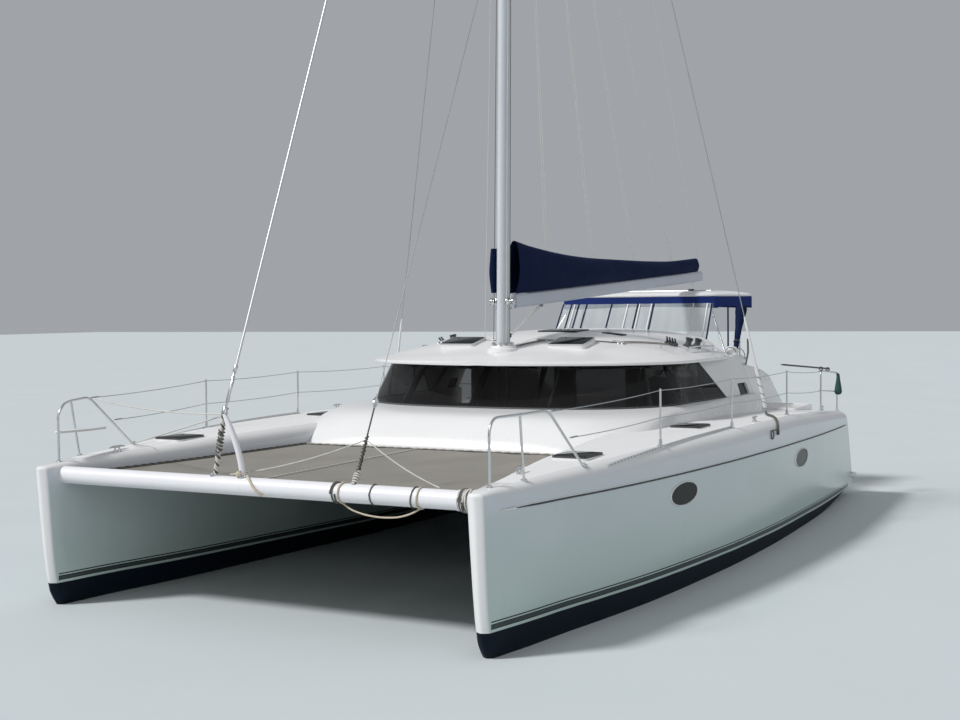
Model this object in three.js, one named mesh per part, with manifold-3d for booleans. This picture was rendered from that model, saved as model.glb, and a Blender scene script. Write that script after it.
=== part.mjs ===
// A cruising sailing catamaran, afloat.
// Millimetres. +X points forward, +Y to port, +Z up.
// The origin is on the waterline, on the centreline, a little aft of the mast.
import * as THREE from "three";
import { mergeVertices } from "three/addons/utils/BufferGeometryUtils.js";
import Module from "manifold-3d";

const wasm = await Module();
wasm.setup();

// Driving dimensions
const sternX = -6150;
const clearance = 0.3;
const sides = { port: 1, starboard: -1 };

const bridge = { bottom: 700, floor: 900, front: 2300, aft: -5750, half: 2300 };
const saloonAft = -2900;
const sillZ = 1900;
const wall = 60;

const mastFoot = new THREE.Vector3(450, 0, 2720);
const mastRake = THREE.MathUtils.degToRad(1.8);
const mastHead = 16370;
const houndsUp = 14820;
const spreaderUp = 6270;
const mastLong = 250;
const mastWide = 165;

const boomPivot = new THREE.Vector3(215, 0, 3350);
const boomLength = 5960;
const boomYaw = THREE.MathUtils.degToRad(8.6);
const boomLift = THREE.MathUtils.degToRad(4.1);

const strikerY = -300;
const beamX = 6215;
const beamZ = 1450;
const beamR = 95;

const chainplate = { x: -1750, y: 3130 };
const netZ = 1445;
const netThick = 14;

// Colours and finishes
const finishes = {
  gelcoat: { color: 0xe9ecea, roughness: 0.28, metalness: 0 },
  antifoul: { color: 0x10182c, roughness: 0.8, metalness: 0 },
  steel: { color: 0xb9bcbd, roughness: 0.25, metalness: 0.9 },
  alloy: { color: 0xd9dbdb, roughness: 0.35, metalness: 0.4 },
  mastWhite: { color: 0xe6e8e8, roughness: 0.4, metalness: 0.1 },
  glass: { color: 0x17181a, roughness: 0.08, metalness: 0 },
  net: { color: 0x8d8672, roughness: 0.95, metalness: 0 },
  navyCloth: { color: 0x0e1f4f, roughness: 0.9, metalness: 0 },
  blueCloth: { color: 0x1d3f8f, roughness: 0.9, metalness: 0 },
  clearFilm: { color: 0xa9b4b8, roughness: 0.15, metalness: 0 },
  cushion: { color: 0xd8d3c6, roughness: 0.9, metalness: 0 },
  bronze: { color: 0x8a6a3c, roughness: 0.45, metalness: 0.8 },
  engineGrey: { color: 0x6f7477, roughness: 0.6, metalness: 0.3 },
};

const group = new THREE.Group();

function addMesh(name, finish, geometry) {
  const mesh = new THREE.Mesh(geometry, new THREE.MeshStandardMaterial(finishes[finish]));
  mesh.name = name;
  group.add(mesh);
  return mesh;
}

// Closed geometry to solid and back
function weld(geometry) {
  const bare = geometry.clone();
  bare.deleteAttribute("normal");
  bare.deleteAttribute("uv");
  const merged = mergeVertices(bare, 1e-3);
  const kept = [];
  for (let i = 0; i < merged.index.count; i += 3) {
    const [a, b, c] = [0, 1, 2].map((k) => merged.index.getX(i + k));
    if (a !== b && b !== c && c !== a) kept.push(a, b, c);
  }
  merged.setIndex(kept);
  return merged;
}

function solid(geometry) {
  const welded = outwards(weld(geometry));
  return new wasm.Manifold(new wasm.Mesh({
    numProp: 3,
    vertProperties: new Float32Array(welded.attributes.position.array),
    triVerts: new Uint32Array(welded.index.array),
  }));
}

function shape(made) {
  const mesh = made.getMesh();
  const geometry = new THREE.BufferGeometry();
  geometry.setAttribute("position", new THREE.BufferAttribute(mesh.vertProperties, 3));
  geometry.setIndex(new THREE.BufferAttribute(mesh.triVerts, 1));
  return geometry;
}

function joined(solids) {
  return solids.reduce((whole, next) => whole.add(next));
}

// Basic solids
function box(low, high) {
  const size = high.map((v, i) => v - low[i]);
  const geometry = new THREE.BoxGeometry(...size);
  return solid(geometry.translate(...low.map((v, i) => v + size[i] / 2)));
}

function plate(outline, low, high) {
  const contour = new THREE.Shape(outline.map(([x, y]) => new THREE.Vector2(x, y)));
  const geometry = new THREE.ExtrudeGeometry(contour, { depth: high - low, bevelEnabled: false });
  return solid(geometry.translate(0, 0, low));
}

function bar(from, to, radius, faces = 8, endRadius = radius) {
  const along = to.clone().sub(from);
  const geometry = new THREE.CylinderGeometry(endRadius, radius, along.length(), faces);
  const turn = new THREE.Quaternion().setFromUnitVectors(new THREE.Vector3(0, 1, 0), along.clone().normalize());
  geometry.applyQuaternion(turn);
  const middle = from.clone().add(to).multiplyScalar(0.5);
  return solid(geometry.translate(middle.x, middle.y, middle.z));
}

function knuckle(at, radius) {
  return solid(new THREE.SphereGeometry(radius, 8, 6).translate(at.x, at.y, at.z));
}

function pipe(points, radius) {
  const runs = points.slice(1).map((point, i) => bar(points[i], point, radius));
  const bends = points.slice(1, -1).map((point) => knuckle(point, radius * 1.04));
  return joined([...runs, ...bends]);
}

// A solid skinned over rings that all have the same number of points
function loft(rings) {
  const count = rings[0].length;
  const index = [];
  for (let r = 0; r + 1 < rings.length; r += 1) {
    for (let k = 0; k < count; k += 1) {
      const a = r * count + k;
      const b = r * count + ((k + 1) % count);
      index.push(a, b, b + count, a, b + count, a + count);
    }
  }
  const capped = [[rings[0], 0, true], [rings[rings.length - 1], (rings.length - 1) * count, false]];
  for (const [ring, base, reverse] of capped) {
    for (const face of capFaces(ring)) {
      const [a, b, c] = face.map((v) => v + base);
      index.push(...(reverse ? [a, c, b] : [a, b, c]));
    }
  }
  const geometry = new THREE.BufferGeometry();
  const flat = rings.flat().flatMap((p) => [p.x, p.y, p.z]);
  geometry.setAttribute("position", new THREE.Float32BufferAttribute(flat, 3));
  geometry.setIndex(index);
  return solid(geometry);
}

// End caps, cut in the plane that the ring faces most, and turned to the ring's own direction
function capFaces(ring) {
  const normal = new THREE.Vector3();
  ring.forEach((p, i) => {
    const q = ring[(i + 1) % ring.length];
    normal.add(new THREE.Vector3().crossVectors(p, q));
  });
  const size = [Math.abs(normal.x), Math.abs(normal.y), Math.abs(normal.z)];
  const drop = size.indexOf(Math.max(...size));
  const keep = [["y", "z"], ["z", "x"], ["x", "y"]][drop];
  const flat = ring.map((p) => new THREE.Vector2(p[keep[0]], p[keep[1]]));
  const turned = THREE.ShapeUtils.area(flat) < 0;
  const order = flat.map((_, i) => (turned ? flat.length - 1 - i : i));
  const faces = THREE.ShapeUtils.triangulateShape(order.map((i) => flat[i]), []);
  return faces.map((face) => {
    const named = face.map((i) => order[i]);
    return turned ? [named[0], named[2], named[1]] : named;
  });
}

function outwards(geometry) {
  const p = geometry.attributes.position;
  const index = geometry.index.array;
  const corner = [0, 1, 2].map(() => new THREE.Vector3());
  let volume = 0;
  for (let i = 0; i < index.length; i += 3) {
    corner.forEach((v, k) => v.fromBufferAttribute(p, index[i + k]));
    volume += corner[0].dot(corner[1].clone().cross(corner[2]));
  }
  if (volume < 0) {
    const turned = Array.from(index);
    for (let i = 0; i < turned.length; i += 3) [turned[i + 1], turned[i + 2]] = [turned[i + 2], turned[i + 1]];
    geometry.setIndex(turned);
  }
  return geometry;
}

// Straight-line reading of a table sorted by falling x
function lookup(table, column, x) {
  if (x >= table[0].x) return table[0][column];
  for (let i = 1; i < table.length; i += 1) {
    if (x >= table[i].x) {
      const t = (x - table[i].x) / (table[i - 1].x - table[i].x);
      return table[i][column] + t * (table[i - 1][column] - table[i][column]);
    }
  }
  return table[table.length - 1][column];
}

function mirrored(made) {
  return made.mirror([0, 1, 0]);
}

// Hull stations: outer and inner topside from the centreline, bottom, deck edge,
// gunwale radius, and how much of the stem's or transom's rake the station takes
const hullStations = [
  { x: 6500, outer: 2720, inner: 2645, bottom: -60, deck: 1535, round: 18, rake: 1 },
  { x: 6455, outer: 2752, inner: 2608, bottom: -110, deck: 1560, round: 45, rake: 1 },
  { x: 6250, outer: 2790, inner: 2580, bottom: -190, deck: 1580, round: 75, rake: 0.95 },
  { x: 5800, outer: 2868, inner: 2535, bottom: -290, deck: 1600, round: 110, rake: 0.75 },
  { x: 5200, outer: 2955, inner: 2440, bottom: -370, deck: 1620, round: 130, rake: 0.5 },
  { x: 4400, outer: 3095, inner: 2320, bottom: -430, deck: 1645, round: 150, rake: 0.25 },
  { x: 3300, outer: 3262, inner: 2200, bottom: -475, deck: 1675, round: 170, rake: 0 },
  { x: 2000, outer: 3400, inner: 2060, bottom: -500, deck: 1690, round: 180, rake: 0 },
  { x: 500, outer: 3510, inner: 1900, bottom: -510, deck: 1690, round: 180, rake: 0 },
  { x: -1200, outer: 3560, inner: 1800, bottom: -490, deck: 1680, round: 180, rake: 0 },
  { x: -3000, outer: 3555, inner: 1790, bottom: -400, deck: 1620, round: 180, rake: 0 },
  { x: -4400, outer: 3520, inner: 1830, bottom: -230, deck: 1545, round: 170, rake: 0 },
  { x: -5300, outer: 3480, inner: 1890, bottom: -50, deck: 1480, round: 150, rake: 0 },
  { x: sternX, outer: 3440, inner: 1950, bottom: 170, deck: 1430, round: 120, rake: 0 },
];
// Stem profile: how far the stem stands back from its top, by height
const stemProfile = [
  { x: 1600, back: 0 },
  { x: 250, back: 130 },
  { x: 0, back: 240 },
  { x: -200, back: 460 },
  { x: -520, back: 1100 },
];
const bilgeTop = 160;
const bilgeSteps = 5;
const gunwaleSteps = 4;

function hullRing(station) {
  const { outer, inner, bottom, deck, round, rake } = station;
  const middle = (outer + inner) / 2;
  const half = (outer - inner) / 2;
  const flare = Math.min(30, half * 0.2);
  const side = [];
  for (let i = 0; i <= bilgeSteps; i += 1) {
    const t = (i / bilgeSteps) * Math.PI / 2;
    side.push([Math.sin(t) * half, bilgeTop - (bilgeTop - bottom) * Math.cos(t)]);
  }
  side.push([half + flare * 0.5, (bilgeTop + deck) / 2]);
  for (let i = 0; i <= gunwaleSteps; i += 1) {
    const t = (i / gunwaleSteps) * Math.PI / 2;
    side.push([half + flare - round + round * Math.cos(t), deck - round + round * Math.sin(t)]);
  }
  const port = side.map(([y, z]) => [middle + y, z]);
  const centre = side.slice(1).reverse().map(([y, z]) => [middle - y, z]);
  return [...port, ...centre].map(([y, z]) => {
    const x = station.x - rake * lookup(stemProfile, "back", z);
    return new THREE.Vector3(x, y, z);
  });
}

const engineBay = { aft: -4950, front: -3950, half: 285, floor: 100, y: 2710 };
const steps = { front: -5120, rise: 330, run: 300, wall: 170, first: 1110 };

const hullForm = loft(hullStations.map(hullRing));
function hullBody() {
  let hull = hullForm;
  const raked = [[-5380, 1700], [-5400, 1480], [-6100, 400], [-6165, 330], [-6165, -100], [-6700, -100], [-6700, 1700]];
  const cutter = new THREE.Shape(raked.map(([x, z]) => new THREE.Vector2(x, z)));
  const wedge = new THREE.ExtrudeGeometry(cutter, { depth: 2600, bevelEnabled: false });
  hull = hull.subtract(solid(wedge.rotateX(Math.PI / 2).translate(0, 4200, 0)));
  for (let i = 0; i < 3; i += 1) {
    const front = steps.front - i * steps.run;
    const low = [sternX - 200, lookup(hullStations, "inner", front) + steps.wall, steps.first - i * steps.rise];
    const high = [front, lookup(hullStations, "outer", front) - steps.wall, 2000];
    hull = hull.subtract(box(low, high));
  }
  const { aft, front, half, floor, y } = engineBay;
  hull = hull.subtract(box([aft, y - half, floor], [front, y + half, 2000]));
  hull = hull.subtract(bar(rudderHead(), rudderStockTop(60), stockHole, stockFaces));
  return hull;
}

// Rudders: a spade blade under each stern, turning on a stock that runs up into the hull
const rudderStock = 32;
const stockFaces = 16;
const stockHole = (rudderStock + 0.1) / Math.cos(Math.PI / stockFaces);
const rudderX = -5180;
const rudderY = 2670;
function rudderHead() {
  return new THREE.Vector3(rudderX, rudderY, -400);
}
function rudderStockTop(above = 0) {
  return new THREE.Vector3(rudderX, rudderY, 230 + above);
}
function rudder() {
  const chords = [
    { z: -118, front: 130, back: 360, thick: 62 },
    { z: -700, front: 105, back: 300, thick: 50 },
    { z: -1060, front: 70, back: 210, thick: 34 },
  ];
  const rings = chords.map(({ z, front, back, thick }) => foilRing(rudderX, rudderY, z, front, back, thick));
  return loft(rings).add(bar(rudderHead(), rudderStockTop(), rudderStock, stockFaces));
}

// A symmetrical foil section of eight points about a pivot
function foilRing(x, y, z, front, back, thick) {
  const half = thick / 2;
  const outline = [[front, 0], [front * 0.7, half * 0.75], [0, half], [-back * 0.5, half * 0.7], [-back, 4]];
  const starboard = outline.slice(1).reverse().map(([a, b]) => [a, -b]);
  return [...outline, ...starboard].map(([a, b]) => new THREE.Vector3(x + a, y + b, z));
}

function keel(hull) {
  const levels = [
    { z: -300, front: 1450, back: 1500, thick: 330 },
    { z: -900, front: 1330, back: 1330, thick: 270 },
    { z: -1200, front: 1200, back: 1180, thick: 220 },
  ];
  const rings = levels.map(({ z, front, back, thick }) => foilRing(350, 2700, z, front, back, thick));
  return loft(rings).subtract(hull.translate([0, 0, -clearance]));
}

const driveX = -4150;
const shaftZ = -640;
function saildrive(hull) {
  const leg = [
    { z: -40, front: 170, back: 190, thick: 130 },
    { z: -760, front: 130, back: 150, thick: 80 },
  ];
  const rings = leg.map(({ z, front, back, thick }) => foilRing(driveX, rudderY, z, front, back, thick));
  const caseFront = new THREE.Vector3(driveX + 210, rudderY, shaftZ);
  const caseAft = new THREE.Vector3(driveX - 230, rudderY, shaftZ);
  const gearcase = bar(caseFront, caseAft, 40, 14, 62);
  return loft(rings).add(gearcase).subtract(hull.translate([0, 0, -clearance]));
}

// Three-bladed folding propeller, its hub against the drive's gearcase
function propeller() {
  const hubFront = driveX - 230 - clearance;
  const profile = [[0, 0], [60, 0], [60, -70], [34, -150], [0, -170]];
  const lathe = new THREE.LatheGeometry(profile.map(([r, h]) => new THREE.Vector2(r, h)), 18);
  let prop = solid(lathe.rotateZ(-Math.PI / 2));
  for (let i = 0; i < 3; i += 1) {
    const blade = new THREE.BoxGeometry(14, 120, 200);
    blade.rotateZ(THREE.MathUtils.degToRad(28)).translate(-45, 0, 125);
    prop = prop.add(solid(blade.rotateX(i * 2 * Math.PI / 3)));
  }
  return prop.translate([hubFront, rudderY, shaftZ]);
}

function engine() {
  const { aft, front, floor, y } = engineBay;
  return box([aft + 60, y - 250, floor + clearance], [front - 90, y + 250, floor + 620]);
}

// Lids on flat frames. A lid turns up about its aft or forward bottom edge.
const lidThick = 26;
const deckHatches = {
  fore: { x: 4130, y: 2700, long: 520, wide: 400, seat: 1666 },
  mid: { x: 700, y: 2810, long: 520, wide: 400, seat: 1697 },
};
const engineLid = { x: -4450, y: engineBay.y, long: 1080, wide: 660, seat: 1585 };

// A frame's top lies on the seat, tilted down forward where the hatch has a tilt
function hatchSlab({ x, y, long, wide, seat, tilt = 0 }, low, high) {
  const geometry = new THREE.BoxGeometry(long, wide, high - low).translate(0, 0, (low + high) / 2);
  return solid(geometry.rotateY(tilt).translate(x, y, seat));
}
function hatchFrame(hatch, down) {
  return hatchSlab(hatch, -down, 0);
}
function hatchLid(hatch) {
  return hatchSlab(hatch, clearance, clearance + lidThick);
}

const hullBlank = hullBody();
const hullFrames = [
  hatchFrame(deckHatches.fore, 120),
  hatchFrame(deckHatches.mid, 120),
];
const rim = hatchFrame(engineLid, 160);
const bayHole = box(
  [engineBay.aft, engineBay.y - engineBay.half, 0],
  [engineBay.front, engineBay.y + engineBay.half, 2000],
);
const portHull = joined([hullBlank, ...hullFrames, rim.subtract(bayHole)]);
const hulls = { port: portHull, starboard: mirrored(portHull) };

// What is left of a piece outside both hulls, their lockers and steps counted as solid
const portWhole = portHull.add(hullForm);
function clearOfHulls(made, up) {
  const port = portWhole.translate([0, -clearance, up]);
  return made.subtract(port).subtract(mirrored(port));
}

// Cabin outline seen from above: a rounded front, then sides that spread a little going aft
function halfOutline({ front, turn, half, power, aft, spread }, roundSteps = 8, from = 0, to = 1) {
  const points = [];
  for (let i = 0; i <= roundSteps; i += 1) {
    const t = (from + (to - from) * i / roundSteps) * Math.PI / 2;
    const x = turn + (front - turn) * Math.cos(t) ** (2 / power);
    points.push([x, half * Math.sin(t) ** (2 / power)]);
  }
  if (to === 1) {
    const aftHalf = half + spread * (turn - aft) / (turn - saloonAft);
    points.push([(turn + aft) / 2, (half + aftHalf) / 2], [aft, aftHalf]);
  }
  return points;
}

function bothSides(half) {
  const portside = half.map(([x, y]) => [x, y]);
  const starboard = half.slice(1).reverse().map(([x, y]) => [x, -y]);
  return [...starboard, ...portside];
}

function levelRing(outline, z) {
  return outline.map(([x, y]) => new THREE.Vector3(x, y, z));
}

// Trunk levels, from the bridgedeck up to the window sill
const trunkAft = saloonAft - 100;
const trunkLevels = [
  { z: bridge.floor + clearance, front: 2290, turn: 1000, half: 2560, power: 7, spread: 180 },
  { z: 1425, front: 2315, turn: 1000, half: 2560, power: 7, spread: 180 },
  { z: 1500, front: 2290, turn: 900, half: 2550, power: 6, spread: 190 },
  { z: 1700, front: 2120, turn: 500, half: 2530, power: 4.2, spread: 200 },
  { z: 1810, front: 1960, turn: 200, half: 2510, power: 3.4, spread: 210 },
  { z: 1868, front: 1760, turn: -100, half: 2470, power: 3, spread: 230 },
  { z: sillZ, front: 1300, turn: -600, half: 2425, power: 2.6, spread: 250 },
];
const sill = { front: 1250, turn: -600, half: 2370, power: 2.6, spread: 250 };
const head = { front: 640, turn: -760, half: 2250, power: 2.4, spread: 160 };
const headZ = 2440;
const glassThick = 12;

// Roof stations: half width, edge top, crown
const roofStations = [
  { x: 1215, half: 330, edge: 2522, crown: 2526 },
  { x: 1170, half: 760, edge: 2522, crown: 2536 },
  { x: 1050, half: 1180, edge: 2522, crown: 2560 },
  { x: 850, half: 1560, edge: 2520, crown: 2600 },
  { x: 500, half: 1990, edge: 2518, crown: 2650 },
  { x: 0, half: 2330, edge: 2515, crown: 2760 },
  { x: -600, half: 2480, edge: 2512, crown: 2860 },
  { x: -1300, half: 2480, edge: 2508, crown: 2905 },
  { x: -2100, half: 2430, edge: 2500, crown: 2915 },
  { x: -2650, half: 2330, edge: 2500, crown: 2912 },
  { x: -3250, half: 1950, edge: 2600, crown: 2905 },
  { x: -3700, half: 1690, edge: 2690, crown: 2890 },
  { x: -3900, half: 1500, edge: 2740, crown: 2875 },
];
const roofThick = 50;
const roofLip = 12;
const camberPower = 2.3;
const roofAcross = 8;

function roofLine({ x, half, edge, crown }, drop, narrow) {
  const points = [];
  for (let k = -roofAcross; k <= roofAcross; k += 1) {
    const u = Math.sin((k / roofAcross) * Math.PI / 2);
    const z = edge + (crown - edge) * (1 - Math.abs(u) ** camberPower) - drop;
    points.push(new THREE.Vector3(x, u * (half - narrow), z));
  }
  return points;
}

function roofShell() {
  return loft(roofStations.map((station) => {
    return [...roofLine(station, 0, 0), ...roofLine(station, roofThick, roofLip).reverse()];
  }));
}

// Everything below the roof's underside, and outside the roof's edge below its visor
const belowShell = loft(roofStations.map((station) => {
  const top = roofLine(station, roofThick + clearance, roofLip);
  const low = top.map((p) => new THREE.Vector3(p.x, p.y, 0));
  return [...low, ...top.reverse()];
}));
const belowRoof = belowShell.intersect(mirrored(belowShell)).add(box([-4000, -3500, 0], [1500, 3500, 2400]));

const roofTilt = THREE.MathUtils.degToRad(11.5);
const roofHatch = { x: 20, y: 860, long: 460, wide: 560, seat: 2762, tilt: roofTilt };
const roofHatches = { port: roofHatch, starboard: { ...roofHatch, y: -roofHatch.y } };

function cabinRoof() {
  const frames = Object.values(roofHatches).map((hatch) => hatchFrame(hatch, 62));
  const collar = bar(new THREE.Vector3(mastFoot.x, 0, 2630), new THREE.Vector3(mastFoot.x, 0, mastFoot.z - clearance), 210, 20, 165);
  return joined([roofShell(), collar, ...frames]);
}

function cabinTrunk() {
  const rings = trunkLevels.map((level) => levelRing(bothSides(halfOutline({ ...level, aft: trunkAft })), level.z));
  let trunk = loft(rings);
  const room = { front: 1130, turn: -600, half: 2250, power: 2.6, spread: 250, aft: -3400 };
  trunk = trunk.subtract(plate(bothSides(halfOutline(room)), 500, 2200));
  const rows = [{ t: 0.22 }, { t: 0.5 }, { t: 0.78 }, { t: -0.22 }, { t: -0.5 }, { t: -0.78 }, { t: 0 }];
  const posts = rows.map(({ t }) => {
    const foot = outlineAt(sill, t, -75);
    const top = outlineAt(head, t, -75);
    return bar(new THREE.Vector3(foot.x, foot.y, sillZ - 60), new THREE.Vector3(top.x, top.y, headZ + 120), 24, 6);
  });
  return clearOfHulls(joined([trunk, ...posts.map((post) => post.intersect(belowRoof))]), clearance);
}

// A point on an outline, t from -1 to 1 across the rounded front, moved in or out from the centre
function outlineAt({ front, turn, half, power }, t, out = 0) {
  const angle = Math.abs(t) * Math.PI / 2;
  const x = turn + (front - turn) * Math.cos(angle) ** (2 / power);
  const y = Math.sign(t) * half * Math.sin(angle) ** (2 / power);
  const pull = new THREE.Vector2(x - turn, y).normalize().multiplyScalar(out);
  return new THREE.Vector2(x + pull.x, y + pull.y);
}

// Window glass between sill and roof: skinned between an outer and an inner outline at both heights
function glassRing(outline, z, from, to, aft) {
  const inner = { ...outline, front: outline.front - glassThick * 1.6, half: outline.half - glassThick * 1.3 };
  const outside = halfOutline({ ...outline, aft }, 8, from, to);
  const inside = halfOutline({ ...inner, aft }, 8, from, to);
  return levelRing([...outside, ...inside.reverse()], z);
}

const frontSplit = 0.62;
function glassSide() {
  const low = glassRing(sill, sillZ + clearance, frontSplit + 0.004, 1, -1660);
  const high = glassRing(head, headZ + 120, frontSplit + 0.004, 1, -830);
  return loft([low, high]).intersect(belowRoof);
}
function glassFront() {
  const halfRing = (outline, z) => {
    const inner = { ...outline, front: outline.front - glassThick * 1.6, half: outline.half - glassThick * 1.3 };
    const outside = bothSides(halfOutline(outline, 8, 0, frontSplit));
    const inside = bothSides(halfOutline(inner, 8, 0, frontSplit));
    return levelRing([...outside, ...inside.reverse()], z);
  };
  return loft([halfRing(sill, sillZ + clearance), halfRing(head, headZ + 120)]).intersect(belowRoof);
}

// White side panel from the glass's slanted rear edge to the aft bulkhead
function cabinSide() {
  const low = [[-1680, 2485], [saloonAft - 100, 2620], [saloonAft - 100, 2620 - wall], [-1680, 2485 - wall]];
  const high = [[-850, 2245], [saloonAft - 100, 2330], [saloonAft - 100, 2330 - wall], [-850, 2245 - wall]];
  const panel = loft([levelRing(low, sillZ + clearance), levelRing(high, headZ + 120)]);
  const light = box([-2820, 2000, 1950], [-2560, 2900, 2120]);
  return panel.subtract(light).intersect(belowRoof);
}

// Aft bulkhead with its doorway, and the sliding door behind it
const door = { y0: -350, y1: 550, sill: 920, top: 2640 };
const doorLap = 40;
const doorTravel = 940;
function aftBulkhead() {
  const sheet = box([saloonAft, -2180, bridge.floor + clearance], [saloonAft + 50, 2180, 2900]);
  const way = box([saloonAft - 50, door.y0, door.sill], [saloonAft + 100, door.y1, door.top]);
  const windows = [[-1750, -700], [900, 1750]].map(([y0, y1]) => {
    return box([saloonAft - 50, y0, 1550], [saloonAft + 100, y1, 2350]);
  });
  const cut = [way, ...windows].reduce((left, hole) => left.subtract(hole), sheet);
  const headTrack = door.top + doorLap + clearance;
  const tracks = [[bridge.floor + clearance, door.sill], [headTrack, headTrack + 20]].map(([low, high]) => {
    const from = [saloonAft - 45, door.y0 - doorTravel - doorLap - 10, low];
    return box(from, [saloonAft + 10, door.y1 + doorLap + 10, high]);
  });
  return clearOfHulls(joined([cut, ...tracks]).intersect(belowRoof), clearance);
}
function saloonDoor() {
  const x = saloonAft - 5;
  const low = [x - 30, door.y0 - doorLap, door.sill + clearance];
  return box(low, [x, door.y1 + doorLap, door.top + doorLap]);
}

function saloonSettee() {
  const base = box([-1500, 700, bridge.floor + clearance], [600, 1500, 1300]);
  const back = box([-1500, 1350, 1250], [600, 1500, 1720]);
  const bow = box([300, -300, bridge.floor + clearance], [600, 750, 1300]);
  const leg = box([-500, -50, bridge.floor + clearance], [-350, 100, 1560]);
  const foot = box([-500, -50, bridge.floor + clearance], [350, 100, 960]);
  const top = box([-950, -350, 1560], [-50, 480, 1600]);
  return clearOfHulls(joined([base, back, bow, leg, foot, top]), clearance);
}

function bridgedeck() {
  const slab = box([bridge.aft, -bridge.half, bridge.bottom], [bridge.front, bridge.half, bridge.floor]);
  return clearOfHulls(slab, 0);
}

// Cockpit: side coamings that slope down aft, an aft bench across, helm and its seat
function coaming() {
  const top = [[-3005, 2330], [-3600, 2310], [-4350, 2220], [-4900, 2090], [-5300, 1830], [-5750, 1600]];
  const profile = [[-3005, 1100], ...top, [-5750, 1100]];
  const contour = new THREE.Shape(profile.map(([x, z]) => new THREE.Vector2(x, z)));
  const block = new THREE.ExtrudeGeometry(contour, { depth: 430, bevelEnabled: false });
  return clearOfHulls(solid(block.rotateX(Math.PI / 2).translate(0, 2350, 0)), clearance);
}
function cockpitBench() {
  const seat = box([-5740, -1800, bridge.floor + clearance], [-5200, 1800, 1330]);
  const back = box([-5740, -1800, 1300], [-5600, 1800, 1640]);
  return clearOfHulls(joined([seat, back]), clearance);
}
const wheelHub = new THREE.Vector3(-3290, 1250, 1980);
function helmConsole() {
  const pod = box([-3190, 900, bridge.floor + clearance], [-2960, 1700, 2130]);
  const shaft = bar(new THREE.Vector3(-3180, wheelHub.y, wheelHub.z), new THREE.Vector3(wheelHub.x + 20, wheelHub.y, wheelHub.z), 26, 14);
  return joined([pod, shaft]);
}
function steeringWheel() {
  const rimRing = new THREE.TorusGeometry(330, 15, 8, 28).rotateY(Math.PI / 2);
  const hub = bar(new THREE.Vector3(19.7, 0, 0), new THREE.Vector3(-30, 0, 0), 45, 16);
  const spokes = [0, 1, 2, 3, 4].map((i) => {
    const angle = i * 2 * Math.PI / 5;
    const end = new THREE.Vector3(0, 330 * Math.sin(angle), 330 * Math.cos(angle));
    return bar(new THREE.Vector3(0, 0, 0), end, 9, 6);
  });
  return joined([solid(rimRing), hub, ...spokes]).translate([wheelHub.x, wheelHub.y, wheelHub.z]);
}
function helmSeat() {
  const post = box([-4180, 1150, bridge.floor + clearance], [-3960, 1350, 1560]);
  const squab = box([-4280, 850, 1560], [-3880, 1650, 1680]);
  const back = box([-4340, 850, 1600], [-4260, 1650, 2050]);
  return joined([post, squab, back]);
}

// Bow gear
function crossbeam() {
  const end = 2640;
  const tube = bar(new THREE.Vector3(beamX, -end, beamZ), new THREE.Vector3(beamX, end, beamZ), beamR, 20);
  return clearOfHulls(tube, clearance);
}
const strikerTop = new THREE.Vector3(beamX + 60, strikerY, 2190);
// Points on the forestay, measured up from the striker's top, and on the port shroud, up from its chainplate
const hounds = mastAt(houndsUp).add(new THREE.Vector3(mastLong * 0.3, 0, 0));
function onForestay(up) {
  return strikerTop.clone().lerp(hounds, up / strikerTop.distanceTo(hounds));
}
const chainTop = new THREE.Vector3(chainplate.x, chainplate.y, 1745);
const shroudHead = mastAt(houndsUp - 150);
function onShroud(up) {
  return chainTop.clone().lerp(shroudHead, up / chainTop.distanceTo(shroudHead));
}
function striker() {
  const feet = [-190, 190].map((dy) => new THREE.Vector3(beamX, strikerY + dy, beamZ + 20));
  const legs = feet.map((foot) => bar(foot, strikerTop, 26, 10));
  const saddles = feet.map((foot) => bar(new THREE.Vector3(foot.x, foot.y, beamZ + 40), new THREE.Vector3(foot.x, foot.y, beamZ + beamR + 26), 48, 12));
  const eye = bar(strikerTop, onForestay(70), 34, 10);
  const grown = bar(new THREE.Vector3(beamX, -900, beamZ), new THREE.Vector3(beamX, 900, beamZ), beamR + clearance, 20);
  return joined([...legs, ...saddles, eye]).subtract(grown);
}
function trampoline(near) {
  const seam = strikerY;
  const edge = near > 0 ? [seam + 1, 2700] : [-2700, seam - 1];
  const sheet = box([2300, edge[0], netZ - netThick], [beamX - beamR * 0.2, edge[1], netZ]);
  const beam = bar(new THREE.Vector3(beamX, -2700, beamZ), new THREE.Vector3(beamX, 2700, beamZ), beamR + clearance, 20);
  return clearOfHulls(sheet.subtract(beam).subtract(trunkSolid.translate([clearance, 0, 0])), 0);
}

// Standing rig
function mastAt(up) {
  return new THREE.Vector3(mastFoot.x - Math.sin(mastRake) * up, 0, mastFoot.z + Math.cos(mastRake) * up);
}
const spreaderHalf = 1150;
const boomPin = 72;
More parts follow.
